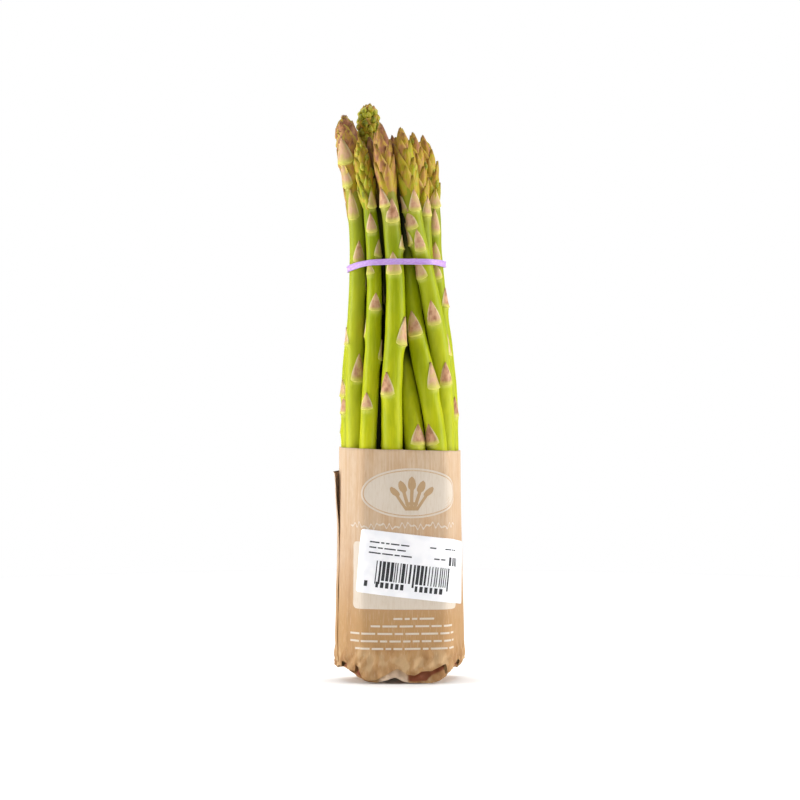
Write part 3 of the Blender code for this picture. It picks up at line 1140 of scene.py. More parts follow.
    def leaf_place(
        self, z: float, bearing: float, tilt: float, size: tuple[float, float, float], hue: float
    ) -> Place:
        """Sets one leaf on the stem.

        Args:
            z: Its base's height in metres.
            bearing: Where it faces, in degrees from the front towards the right.
            tilt: How far its tip leans inwards, in degrees.
            size: Its scale: round the stem, out from it, and along it.
            hue: Its colour, 0 green to 1 rosy brown.

        Returns:
            Its place, its turn, its size and its hue.
        """
        lean = math.radians(tilt)
        turn = (
            self.upright(z)
            @ Matrix.Rotation(math.radians(bearing), 3, "Z")
            @ Matrix.Rotation(-lean, 3, "X")
        )
        place = Vector(self.centre(z)) - Vector((0, 0, size[1] * math.sin(lean)))
        return place, turn.to_euler(), size, hue

    def stem_leaves(self) -> list[Place]:
        """The places of the leaves along the stem."""
        rng = np.random.default_rng(700 + self.number)
        made = []
        for height, bearing, length, hue in self.leaf_table:
            z = height * MM
            radius = self.radius(z) * 1.01
            slope = (self.radius(z + length * MM) - self.radius(z)) / (length * MM)
            made.append(self.leaf_place(
                z, bearing, math.degrees(math.atan(-slope)),
                (radius * rng.uniform(0.92, 1.05), radius, length * MM),
                hue + rng.uniform(-0.06, 0.06),
            ))
        return made

    def bracts(self) -> list[Place]:
        """The places of the tip's bracts, closer and smaller towards its point."""
        look, rng = self.head.value, np.random.default_rng(900 + self.number)
        made, bearing = [], rng.uniform(0, 360)
        for k in range(look.bracts):
            share = k / look.bracts
            run = 1 - (1 - share) ** 1.3
            z = self.neck + run * (self.tip - self.neck - 2.5 * MM)
            bearing += GOLDEN_TURN
            length = (look.longest + (look.shortest - look.longest) * run) * MM
            end = min(z + length, self.tip + 0.3 * MM)
            here = self.radius(z)
            fall = here - (self.radius(end) if end < self.tip else 0.0)
            tilt = math.degrees(math.atan2(fall, end - z)) * 0.92
            length = math.hypot(fall, end - z)
            radius = max(here * BRACT_SEAT, LEAST_SEAT * MM)
            width = radius * look.width * rng.uniform(0.9, 1.1)
            hue = look.hues[0] + (look.hues[1] - look.hues[0]) * run + rng.uniform(-0.13, 0.13)
            made.append(self.leaf_place(
                z, bearing, tilt - look.flare * rng.uniform(0.3, 1.2), (width, radius, length), hue
            ))
        return made

    def buds(self) -> list[Place]:
        """The places of the buds that show between the bracts."""
        look, rng = self.head.value, np.random.default_rng(1100 + self.number)
        made, bearing = [], rng.uniform(0, 360)
        for k in range(look.buds):
            run = 1 - (1 - (k + 0.6) / look.buds) ** 1.2
            z = self.neck + (0.18 + 0.80 * run) * (self.tip - self.neck - 3 * MM)
            bearing += GOLDEN_TURN
            radius = max(self.radius(z) * 0.98, LEAST_SEAT * MM)
            length = (5.6 - 2.6 * run) * MM
            above = self.radius(min(z + length, self.tip))
            tilt = math.degrees(math.atan2(self.radius(z) - above, length)) - 6
            made.append(self.leaf_place(
                z, bearing, tilt, (radius * 0.95, radius, length), rng.uniform(0.1, 0.8)
            ))
        return made


class Crowd:
    """The whole bundle's taut outline at each height, which tells how far within it a place lies,
    for the painted shade in the gaps between the spears.
    """

    DIRECTIONS = 48
    HEIGHTS = (100, 236, 4)  # mm: first, last and step
    DARK = (4.6, 4.4)  # mm: how deep the shade starts, and how much deeper it is full
    CLEAR = (248.0, 22.0)  # mm: where the tips stand free of shade, and how far down it fades

    def __init__(self, spears: tuple[Spear, ...]) -> None:
        """Measures the outline round every spear.

        Args:
            spears: The bundle's spears.
        """
        turns = np.arange(self.DIRECTIONS) * 2 * math.pi / self.DIRECTIONS
        self.ways = np.stack((np.cos(turns), np.sin(turns)), 1)
        self.levels = np.arange(*self.HEIGHTS) * MM
        self.reach = np.array([
            np.max([
                self.ways @ spear.centre(z)[:2] + spear.radius(z)
                for spear in spears
                if spear.tip > z
            ], axis=0)
            for z in self.levels
        ])

    def shade(self, places: np.ndarray) -> np.ndarray:
        """How much painted shade darkens the gaps at given places, 0 at the outline to 1 far
        within, below the tips.

        Args:
            places: Places in metres, n x 3.

        Returns:
            One value for each place.
        """
        reach = np.stack([
            np.interp(places[:, 2], self.levels, self.reach[:, k]) for k in range(len(self.ways))
        ], 1)
        depth = (reach - places[:, :2] @ self.ways.T).min(axis=1) / MM
        (start, more), (top, fade) = self.DARK, self.CLEAR
        return ease((depth - start) / more) * ease((top - places[:, 2] / MM) / fade)


@dataclass
class SpearSet:
    """The fifteen spears, with the shapes and finishes that they share."""

    spears: tuple[Spear, ...]

    def build(self) -> None:
        """Builds, dresses and delivers every spear."""
        skin, leaf, bud = StemSkin().build(), ScaleLeaf().build(), Bud().build()
        bract = ScaleLeaf(
            "asparagus_tip_bract_fresh",
            (
                (0.0, "#9ca60c"), (0.3, "#b39c18"), (0.6, "#b98c40"), (0.8, "#aa724c"),
                (1.0, "#8f5a40"),
            ),
            # The tip bracts' dark base colour is painted shade, where each bract lies under the one
            # above.
            edge="#c4b240", base="#5e5c0c", vein="#ccaa58", tip="#6c481a", roughness=0.46,
        ).build()
        stem_leaf = Pattern("stem_scale_leaf", scale_leaf_points(50, 8, 8, 0.06, 0.225), 50)
        head_leaf = Pattern("tip_bract", scale_leaf_points(62, 5, 4, 0.14, 0.0, 0.3, 0.12), 50)
        head_bud = Pattern("tip_bud", bud_points(), 80)
        crowd = Crowd(self.spears)
        for spear in self.spears:
            stem = spear.stem(skin)
            points = np.empty(len(stem.data.vertices) * 3)
            stem.data.vertices.foreach_get("co", points)
            # Painted shade in the gaps, by how far within the bundle each point of the stem lies.
            set_attribute(stem.data, "inside", crowd.shade(points.reshape(-1, 3)))
            deliver(stem, spear.node, "asparagus")
            for pattern, suffix, places, finish in (
                (stem_leaf, "_scale_leaves", spear.stem_leaves(), leaf),
                (head_leaf, "_tip_bracts", spear.bracts(), bract),
                (head_bud, "_tip_buds", spear.buds(), bud),
            ):
                if places:
                    piece = pattern.scatter(
                        spear.node + suffix, places, 0.08, spear.number, finish, crowd
                    )
                    deliver(piece, spear.node, "asparagus")
        for pattern in (stem_leaf, head_leaf, head_bud):
            pattern.clear()


SPEARS = (  # node, head, seen leaves, tone, blush and head girth, as in Spear
    ("spear_01", Head.BLUNT, (
        (230.7, -26, 12.0, 0.45), (220.6, -42, 13.0, 0.35), (206.2, -20, 14.0, 0.50),
        (186.5, 12, 9.5, 0.65), (149.8, -90, 7.6, 0.60), (133.8, 31, 11.3, 0.65)), 0.80, 0.5, 9.7),
    ("spear_02", Head.BUDDING, (
        (210.2, 30, 7.9, 0.30), (199.5, -2, 8.5, 0.55), (188.7, 52, 7.2, 0.40),
        (180.8, -42, 6.0, 0.10), (164.7, 10, 7.6, 0.65), (143.2, 90, 8.8, 0.50),
        (121.1, -25, 7.0, 0.65)), 0.45, 0.1, 7.4),
    ("spear_03", Head.SLENDER, (
        (210.8, -46, 8.0, 0.60), (204.1, 15, 9.9, 0.80), (191.6, 85, 6.0, 0.40),
        (180.8, -9, 9.0, 0.45), (149.8, 59, 11.7, 0.60), (127.7, -31, 10.4, 0.85)), 0.40, 0.5, 8.9),
    ("spear_04", Head.SLENDER, ((105.0, 27, 8.6, 0.60),), 0.60, 0.5, 7.6),
    ("spear_05", Head.SLENDER, (
        (153.6, -9, 11.0, 0.70), (129.9, 50, 10.7, 0.55), (106.0, -35, 9.0, 0.85)), 0.35, 0.4, 7.6),
    ("spear_06", Head.WIDE, (
        (209.1, -80, 7.0, 0.50), (208.9, 25, 9.2, 0.60), (201.4, -30, 9.5, 0.62),
        (194.7, -85, 9.5, 0.50), (191.3, 5, 10.4, 0.58), (179.6, -38, 9.6, 0.55),
        (159.3, -3, 11.0, 0.70), (132.8, 23, 10.4, 0.75)), 0.70, 0.2, 9.0),
    ("spear_07", Head.OLIVE, (
        (211.8, 17, 7.5, 0.40), (200.1, 8, 11.2, 0.55), (187.8, 8, 9.0, 0.40),
        (179.6, 1, 8.0, 0.45), (166.6, 67, 8.0, 0.75), (118.3, 41, 9.2, 0.80)), 0.65, 0.3, 7.6),
    ("spear_08", Head.SLENDER, ((119.2, -44, 8.0, 0.60), (126.9, -60, 7.5, 0.50)), 0.60, 0.3, 0.0),
    ("spear_09", Head.OLIVE, ((207.3, 40, 8.8, 0.50),), 0.55, 0.4, 7.6),
    ("spear_10", Head.OPEN, (), 0.40, 0.1, 9.0),
    ("spear_11", Head.SLENDER, (), 0.45, 0.2, 0.0),
    ("spear_12", Head.WIDE, (), 0.50, 0.3, 0.0),
    ("spear_13", Head.OLIVE, (), 0.55, 0.2, 0.0),
    ("spear_14", Head.SLENDER, (), 0.40, 0.4, 0.0),
    ("spear_15", Head.OLIVE, (), 0.60, 0.2, 0.0),
)


# ---------------------------------------------------------------- paper sleeve


def hull(points: np.ndarray) -> np.ndarray:
    """The convex outline of flat points, anticlockwise."""
    ordered = sorted(map(tuple, np.round(points, 8)))

    def chain(run: list[tuple[float, float]]) -> list[tuple[float, float]]:
        """One side of the outline."""
        kept: list[tuple[float, float]] = []
        for p in run:
            while len(kept) > 1 and (
                (kept[-1][0] - kept[-2][0]) * (p[1] - kept[-2][1])
                - (kept[-1][1] - kept[-2][1]) * (p[0] - kept[-2][0])
            ) <= 0:
                kept.pop()
            kept.append(p)
        return kept[:-1]

    return np.array(chain(ordered) + chain(ordered[::-1]))


class PaperSurface:
    """The sleeve's outside as a sheet: a place round it from the front's middle, and a height."""

    ENDS = (8.6, 0.4)  # mm from the solid's foot and top to the lowest and highest cut
    CUTS = 42
    COLUMNS = 360
    ROUNDING = (6, 2.4)  # columns: how far the bell that rounds the corners reaches, and its width
    UNROLLED = 75.0  # mm, about half the way round, for the slow bulges
    CRUMPLED = (19.0, 9.0)  # mm: the crumpling's top, and over how much it grows downwards
    TURNED_IN = (5.0, 0.9)  # mm: below this height the foot turns in, by this much

    def __init__(self, node: str) -> None:
        """Reads the sleeve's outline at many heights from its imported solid.

        Args:
            node: The sleeve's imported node.
        """
        solid = CadSolid(node)
        self.low, self.high = float(solid.low[2]), float(solid.high[2])
        foot, top = self.ENDS
        self.levels = np.linspace(self.low + foot * MM, self.high - top * MM, self.CUTS)
        self.middle = (solid.low[:2] + solid.high[:2]) / 2
        rows = []
        for z in self.levels:
            rows.append(self.even(hull(solid.level(z).reshape(-1, 3)[:, :2])))
        outlines = smoothed(np.array(rows).reshape(len(rows), -1), 1.0)
        self.outlines = outlines.reshape(len(rows), self.COLUMNS, 2)
        steps = np.linalg.norm(self.outlines - np.roll(self.outlines, 1, axis=1), axis=2)
        self.rounds = steps.sum(axis=1)

    def even(self, outline: np.ndarray) -> np.ndarray:
        """Spaces an outline's points evenly, from the back's middle anticlockwise."""
        closed = np.vstack((outline, outline[:1]))
        fine = np.vstack([
            closed[i] + (closed[i + 1] - closed[i]) * np.linspace(0, 1, 40, endpoint=False)[:, None]
            for i in range(len(outline))
        ])
        bearing = np.unwrap(np.arctan2(fine[:, 1] - self.middle[1], fine[:, 0] - self.middle[0]))
        turn = (bearing + math.pi / 2) % (2 * math.pi)
        return smoothed_ring(spaced(fine[np.argsort(turn)], self.COLUMNS), *self.ROUNDING)

    def round_at(self, z: np.ndarray) -> np.ndarray:
        """The distance round the sleeve at each height, in metres."""
        return np.interp(z, self.levels, self.rounds)

    def relief(self, s: np.ndarray, z: np.ndarray) -> np.ndarray:
        """How far creases and soft bulges lift the paper, in metres.

        Args:
            s: Places round from the front's middle, in millimetres.
            z: Heights in millimetres.

        Returns:
            The lift at each place.
        """
        lift = 0.10 * wander(s / self.UNROLLED, 3, (2, 3, 5)) * (0.4 + 0.6 * ease(z / 60))
        lift = lift + 0.10 * np.sin(s / 6.5 + 0.02 * z) * np.sin(z / 17 + 0.8)
        for s0, z0, s1, z1, height, width in CREASES:
            along = np.array((s1 - s0, z1 - z0))
            length = np.hypot(*along)
            along = along / length
            t = (s - s0) * along[0] + (z - z0) * along[1]
            off = (s - s0) * -along[1] + (z - z0) * along[0]
            past = np.maximum(np.maximum(-t, t - length), 0)
            fade = bump(past, 3.0) * (0.6 + 0.4 * np.sin(t * 0.7 + s0))
            lift = lift + height * fade * np.exp(-np.abs(off) / width)
        folds = np.sin(s * 0.85 + 1.7 * np.sin(z * 0.33))
        folds = folds * np.sin(z * 0.62 + 1.3 * np.sin(s * 0.29 + 2))
        folds = np.sign(folds) * np.abs(folds) ** 0.7
        (top, growth), (turn, depth) = self.CRUMPLED, self.TURNED_IN
        lift = lift + 0.5 * folds * ease((top - z) / growth)
        return (lift - depth * np.clip((turn - z) / turn, 0, 1) ** 2) * MM

    def at(self, s: np.ndarray, z: np.ndarray, proud: np.ndarray | float) -> np.ndarray:
        """Places on the sleeve.

        Args:
            s: Distances round from the front's middle towards the right, in millimetres.
            z: Heights in millimetres.
            proud: How far off the paper's outside, in millimetres.

        Returns:
            The places in metres, n x 3.
        """
        s, z = np.broadcast_arrays(np.asarray(s, float), np.asarray(z, float))
        height = np.clip(z * MM, self.levels[0], self.levels[-1])
        column = (s * MM / self.round_at(height)) % 1.0 * self.COLUMNS
        row = np.interp(height, self.levels, np.arange(len(self.levels)))
        r0 = np.minimum(row.astype(int), len(self.levels) - 2)
        fr = (row - r0)[..., None]

        def read(shift: float) -> np.ndarray:
            """The outline's place a few columns on."""
            c = (column + shift) % self.COLUMNS
            c0 = c.astype(int) % self.COLUMNS
            fc = (c - np.floor(c))[..., None]
            c1 = (c0 + 1) % self.COLUMNS
            first = self.outlines[r0, c0] * (1 - fc) + self.outlines[r0, c1] * fc
            second = self.outlines[r0 + 1, c0] * (1 - fc) + self.outlines[r0 + 1, c1] * fc
            return first * (1 - fr) + second * fr

        flat, along = read(0.0), read(1.5) - read(-1.5)
        along /= np.linalg.norm(along, axis=-1, keepdims=True)
        out = np.stack((along[..., 1], -along[..., 0]), -1)
        lift = self.relief(s, z) + np.asarray(proud, float) * MM
        place = flat + out * np.asarray(lift)[..., None]
        return np.concatenate((place, (z * MM)[..., None]), -1)


CREASES = (  # from (round, height) to (round, height), lift and width, all in mm
    (-27.0, 6.0, -24.5, 60.0, 0.45, 1.2),
    (-24.0, 30.0, -22.5, 100.0, -0.35, 1.6),
    (-20.0, 4.0, -12.0, 16.0, 0.55, 1.0),
    (-6.0, 3.0, -10.0, 14.0, 0.50, 0.9),
    (2.0, 4.0, 6.0, 17.0, -0.45, 1.1),
    (10.0, 4.0, 26.0, 12.0, 0.55, 0.9),
    (18.0, 12.0, 30.0, 8.0, -0.40, 1.0),
    (-30.0, 12.0, -18.0, 9.0, 0.35, 1.1),
    (24.0, 14.0, 27.0, 98.0, 0.30, 1.4),
    (60.0, 5.0, 52.0, 34.0, 0.5, 1.3),
    (-62.0, 6.0, -50.0, 40.0, 0.5, 1.3),
    (70.0, 60.0, 58.0, 100.0, 0.4, 1.6),
    (-48.0, 60.0, -54.0, 101.0, 0.4, 1.6),
)

OUTER_EDGE = (  # x and height in mm of the wall's torn and folded lower edge, from the front
    (-30.0, 6.8), (-26.6, 6.5), (-26.0, 9.0), (-23.7, 8.5), (-23.0, 5.9), (-20.6, 5.1),
    (-20.1, 8.3), (-18.2, 7.4), (-17.5, 2.2), (-14.0, 1.3), (-10.8, 1.6), (-6.5, 4.0),
    (-3.0, 6.0), (-1.3, 6.8),
    (1.0, 5.6), (3.6, 4.0), (6.5, 3.8), (9.3, 5.5), (13.9, 5.7), (20.0, 8.8), (21.7, 4.6),
    (23.3, 6.8), (25.0, 8.3), (26.6, 10.6), (29.4, 6.9),
)
INNER_EDGE = (  # the same for the sheet folded under it
    (-30.0, 7.0), (-23.0, 5.7), (-19.9, 3.0), (-17.0, 1.6), (-13.5, 0.7), (-10.5, 0.6), (-6.2, 1.6),
    (-2.2, 2.9), (1.3, 1.2), (4.4, 0.5), (10.0, 0.3), (14.5, 0.3), (18.0, 1.3), (21.5, 3.6),
    (24.4, 6.6), (30.0, 7.0),
)


@dataclass
class Sleeve:
    """The kraft sleeve: a printed sheet lapped at the back and folded under at the foot."""

    surface: PaperSurface
    columns: int = 320
    rows: int = 96
    thickness: float = 0.22  # mm
    top_left: float = 103.9  # mm
    top_right: float = 102.3  # mm
    tuck_in: float = 0.75  # mm, how far inside the wall the folded sheet starts
    step: float = 0.8  # mm, how much higher than the folded sheet the wall ends at the back
    lap_across: tuple[float, float] = (-61.0, -35.5)  # mm round from the front's middle
    lap_up: tuple[float, float] = (8.0, 101.5)  # mm
    flap_up: tuple[float, float] = (60.0, 96.0)  # mm, where the lap's free edge stands off
    flap_lift: float = 2.5  # mm
    mark: tuple[float, float] = (5.0, 84.0)  # mm, the printed oval's middle
    node: str = "paper_sleeve"

    def __post_init__(self) -> None:
        """Spaces the sheet's columns round the sleeve, as shares of the way round."""
        self.turns = np.arange(self.columns) / self.columns - 0.5

    def place(self, z: np.ndarray | float, proud: np.ndarray | float) -> np.ndarray:
        """A ring of places round the sleeve at given heights and distances off it, in mm."""
        z = np.broadcast_to(np.asarray(z, float), self.turns.shape)
        s = self.turns * self.surface.round_at(np.maximum(z * MM, self.surface.levels[0])) / MM
        return self.surface.at(s, z, proud)

    def edge(self, profile: tuple[tuple[float, float], ...], gap: float) -> np.ndarray:
        """The height in millimetres of a lower edge, round the sleeve.

        Args:
            profile: The edge as seen from the front.
            gap: How much higher than the folded sheet the edge is at the back.

        Returns:
            One height for each column.
        """
        ring = self.place(9.0, 0.0) / MM
        table = np.array(profile)
        front = np.interp(ring[:, 0], table[:, 0], table[:, 1])
        sides = 3.6 * ease((np.abs(ring[:, 0]) - 19) / 6)
        back = gap + 2.2 + 1.3 * wander(self.turns, 9, (3, 5, 8)) + sides
        share = ease((ring[:, 1] + 3) / 5)
        return np.clip(front * (1 - share) + back * share, 0.25, 10.0)

    def wall(self) -> bpy.types.Object:
        """Builds the wall, open at the top and torn and creased along its foot."""
        low = self.edge(OUTER_EDGE, self.step)
        x = self.place(100.0, 0.0)[:, 0] / MM
        high = self.top_left + (self.top_right - self.top_left) * (x + 28) / 56
        high = high + 0.15 * wander(self.turns, 12, (3, 7, 11))
        shares = np.linspace(0, 1, self.rows) ** 1.2
        points = np.vstack([self.place(low + (high - low) * share, 0.0) for share in shares])
        faces = grid_faces(self.rows, self.columns, ring=True)
        return thickened(mesh_object("kraft_sleeve_wall", points, faces, 70), self.thickness * MM)

    def tuck(self) -> bpy.types.Object:
        """Builds the sheet folded under the wall, which closes the foot and shows in its gaps."""
        outer, inner = self.edge(OUTER_EDGE, self.step), self.edge(INNER_EDGE, 0.0)
        x = self.place(9.0, 0.0)[:, 0] / MM
        foot = self.place(inner, -self.tuck_in)
        middle = foot.mean(axis=0)
        under = np.array(INNER_EDGE)
        rings, deep, pale = [], [], []
        strip = ease((x + 12) / 3) * ease((5.0 - x) / 2.5)
        for share in (0.02, 0.25, 0.5, 0.72, 0.88, 0.96):
            ring = middle + (foot - middle) * share
            over = np.interp(ring[:, 0] / MM, under[:, 0], under[:, 1]) + 0.3
            ring[:, 2] = (over * (1 - share ** 4) + inner * share ** 4) * MM
            rings.append(ring)
            deep.append(np.zeros(self.columns))
            pale.append(np.zeros(self.columns))
        gap = np.maximum(outer - inner, 0.4)
        for share in np.concatenate((np.linspace(0, 1, 16), (1.3, 1.8))):
            height = inner + gap * share + max(share - 1, 0) * 6
            back = self.tuck_in + 1.5 * share ** 1.4 * (1 - 0.7 * strip)
            rings.append(self.place(height, -back))
            # Painted shade: the folded sheet darkens to red-brown where it lies back in the gaps
            # under the wall's edge.
            start = 0.02 + 0.46 * ease((x - 11.5) / 3) * ease((24 - x) / 2)
            deep.append(ease((share - start) / 0.28) * (1 - strip) * ease((gap - 0.9) / 1.2))
            pale.append(strip * (1 - 0.5 * share) * ease((gap - 0.6) / 1.5))
        points = np.vstack(rings)
        faces = grid_faces(len(rings), self.columns, ring=True)
        points = np.vstack((points, [[middle[0], middle[1], rings[0][:, 2].mean()]]))
        pole = len(points) - 1
        faces += [(pole, (c + 1) % self.columns, c) for c in range(self.columns)]
        made = mesh_object("kraft_sleeve_fold", points, faces, 70)
        set_attribute(made.data, "deep", np.append(np.concatenate(deep), 0.0))
        set_attribute(made.data, "pale", np.append(np.concatenate(pale), 0.0))
        return thickened(made, self.thickness * MM)

    def lap(self) -> bpy.types.Object:
        """Builds the glued lap behind the left edge, whose free corner curls out."""
        s = np.linspace(*self.lap_across, 26)
        z = np.linspace(*self.lap_up, 110)
        (low, high), edge = self.flap_up, self.lap_across[1]
        grid_s, grid_z = np.meshgrid(s, z)
        near = ease((grid_s - edge) / 14.5 + 1)
        rise = np.clip((grid_z - low) / (high - low - 3), 0, 1) * ease((high - grid_z) / 3)
        lift = 0.35 + self.flap_lift * near ** 2 * rise
        lift += 0.15 * near * wander(grid_z / 60, 33, (1, 3))
        skew = grid_s - 11 * ease((grid_z - 92.6) / 0.9) * near
        place = self.surface.at(skew, grid_z, lift)
        faces = grid_faces(len(z), len(s), ring=False)
        made = mesh_object("kraft_sleeve_lap", place.reshape(-1, 3), faces, 70)
        return thickened(made, self.thickness * MM)

    def build(self) -> None:
        """Builds, dresses and delivers the sleeve and what is printed on it."""
        kraft = KraftPaper().build()
        for piece in (self.wall(), self.tuck(), self.lap()):
            deliver(piece, self.node, "kraft_paper", kraft)
        pale = Ink("print_ink_pale_matt", "#d2c5b5", "#bda585").build()
        bare = Ink("print_gap_bare_kraft", "#b5966f", "#a98358").build()
        printed = Marks(self.surface, 0.05)
        printed.oval(*self.mark, 22.6, 11.0, 0.8)
        printed.disc(*self.mark, 21.2, 9.7)
        printed.scribble(-24.0, 27.5, 69.6, 1.0)
        printed.rounded(4.0, 47.6, 52.5, 29.6, 2.0, -0.6)
        lines = ((-3, 15), (-13, 25), (-24, 27), (-24, 27), (-21, 27))
        for row, (left, right) in enumerate(lines):
            printed.dashes(left, right, 29.0 - 3.3 * row, 1.7, 60 + row)
        deliver(printed.piece("sleeve_print"), self.node, "kraft_paper", pale)
        motif = Marks(self.surface, 0.10)
        for lean in (-34, -17, 0, 17, 34):
            foot = self.mark[0] + lean * 0.06
            motif.spear_motif(foot, self.mark[1] - 7.6, 15.0 - abs(lean) * 0.07, lean)
        motif.rounded(self.mark[0], self.mark[1] - 4.6, 5.6, 1.3, 0.4, 0.0)
        deliver(motif.piece("sleeve_print_motif"), self.node, "kraft_paper", bare)


def thickened(piece: bpy.types.Object, thickness: float) -> bpy.types.Object:
    """Gives a sheet a wall behind its outer face, in metres, and applies it."""
    modifier = piece.modifiers.new("paper", "SOLIDIFY")
    modifier.thickness, modifier.offset = thickness, -1.0
    mesh, old = applied(piece), piece.data
    name, piece.data = old.name, mesh
    bpy.data.meshes.remove(old)
    mesh.name = name
    return piece


class Marks:
    """Flat printed shapes laid on the sleeve, which bend with it."""

    def __init__(
        self,
        surface: PaperSurface,
        proud: float,
        middle: tuple[float, float] = (0.0, 0.0),
        turn: float = 0.0,
    ) -> None:
        """Starts an empty set of marks.

        Args:
            surface: The sleeve's outside.
            proud: How far off it they lie, in millimetres.
            middle: The marks' own origin on it: round and height, in millimetres.
            turn: How far they are turned, in degrees.
        """
        self.surface, self.proud, self.middle, self.turn = surface, proud, middle, turn
        self.points: list[np.ndarray] = []
        self.faces: list[tuple[int, ...]] = []
        self.total = 0

    def add(self, across: np.ndarray, up: np.ndarray, ring: bool = False) -> None:
        """Adds a grid of flat places, rows by columns, in millimetres."""
        rows, columns = across.shape
        s, z = turned(across, up, self.turn)
        places = self.surface.at(self.middle[0] + s, self.middle[1] + z, self.proud)
        self.points.append(places.reshape(-1, 3))
        self.faces += grid_faces(rows, columns, ring, self.total)
        self.total += rows * columns

    def rectangle(self, a: float, b: float, width: float, height: float, lean: float = 0.0) -> None:
        """Adds a rectangle by its middle, size and lean in degrees."""
        columns = int(width / 0.45) + 2
        rows = int(height / 2.5) + 2
        x, y = np.meshgrid(np.linspace(-0.5, 0.5, columns), np.linspace(-0.5, 0.5, rows))
        x, y = turned(x * width, y * height, lean)
        self.add(a + x, b + y)

    def rounded(
        self, a: float, b: float, width: float, height: float, corner: float, lean: float
    ) -> None:
        """Adds a rectangle with round corners by its middle, size, corner radius and lean."""
        half = height / 2
        bend = corner * (1 - np.cos(np.linspace(0, math.pi / 2, 6)))
        straight = np.linspace(corner - half, half - corner, max(3, int(height / 2)))
        y = np.concatenate((-half + bend[:-1], straight, (half - bend[:-1])[::-1]))
        past = np.maximum(np.abs(y) - (half - corner), 0)
        side = width / 2 - corner + np.sqrt(np.maximum(corner ** 2 - past ** 2, 0))
        x = side[:, None] * np.linspace(-1, 1, max(3, int(width / 1.1)))
        x, y = turned(x, np.repeat(y[:, None], x.shape[1], axis=1), lean)
        self.add(a + x, b + y)

    def ovals(self, a: float, b: float, wide: np.ndarray, high: np.ndarray) -> None:
        """Adds the band between ovals, by their middle, half widths and half heights."""
        turn = -np.linspace(0, 2 * math.pi, 96, endpoint=False)
        self.add(a + wide[:, None] * np.cos(turn), b + high[:, None] * np.sin(turn), ring=True)

    def oval(self, a: float, b: float, wide: float, high: float, line: float) -> None:
        """Adds an oval ring by its middle, half width, half height and line width."""
        steps = np.array((0.0, line))
        self.ovals(a, b, wide - steps, high - steps)

    def disc(self, a: float, b: float, wide: float, high: float) -> None:
        """Adds a filled oval by its middle, half width and half height."""
        shares = np.linspace(1, 0.01, 16)
        self.ovals(a, b, wide * shares, high * shares)

    def spear_motif(self, a: float, b: float, height: float, lean: float) -> None:
        """Adds a plain spear sign: a thin stalk with a pointed tip."""
        v = np.linspace(0, 1, 16)
        head = np.sin(math.pi * np.clip((v - 0.6) / 0.4, 0, 1) ** 0.7)
        half = (0.75 + head) * np.where(v > 0.93, (1 - v) / 0.07, 1.0) + 0.02
        tilt = math.radians(lean)
        across = half[:, None] * np.array((-1.0, 0.0, 1.0)) + (v * height * math.sin(tilt))[:, None]
        up = np.repeat((v * height * math.cos(tilt))[:, None], 3, axis=1)
        self.add(a + across, b + up)

    def scribble(self, left: float, right: float, b: float, line: float) -> None:
        """Adds a wavy rule of uneven height."""
        x = np.linspace(left, right, 200)
        y = b + 1.1 * np.sin(x * 2.3) * (0.7 + 0.5 * np.sin(x * 0.9)) + 0.6 * np.sin(x * 0.55)
        half = line / 2 * (0.75 + 0.25 * np.sin(x * 4.6))
        self.add(np.vstack((x, x)), np.vstack((y - half, y + half)))

    def dashes(self, left: float, right: float, b: float, high: float, seed: int) -> None:
        """Adds a row of plain dashes of uneven length."""
        rng = np.random.default_rng(seed)
        x = left
        while x < right - high:
            wide = min(high * rng.uniform(1.2, 4.6), right - x)
            self.rectangle(x + wide / 2, b - high * 0.14, wide, high * 0.5)
            x += wide + high * 0.6

    def piece(self, name: str) -> bpy.types.Object:
        """Returns the marks as one object."""
        return mesh_object(name, np.vstack(self.points), self.faces)


LABEL_LINES = (  # from, to and height of the dashes, mm from the label's middle, and their seed
    (-25.5, -7.0, 9.0, 80), (-25.5, -9.0, 6.65, 81), (-25.5, -6.5, 4.3, 82),
    (1.0, 5.0, 9.3, 90), (8.0, 19.0, 9.3, 92), (3.4, 8.6, 4.6, 91),
)
LABEL_BLOCKS = (  # mm from the label's middle: the small blocks under the bars
    -25.3, -20.3, -18.1, -15.9, -13.7, -11.5, -9.3, -3.0, -0.8, 1.4, 3.6, 5.8, 8.0,
)


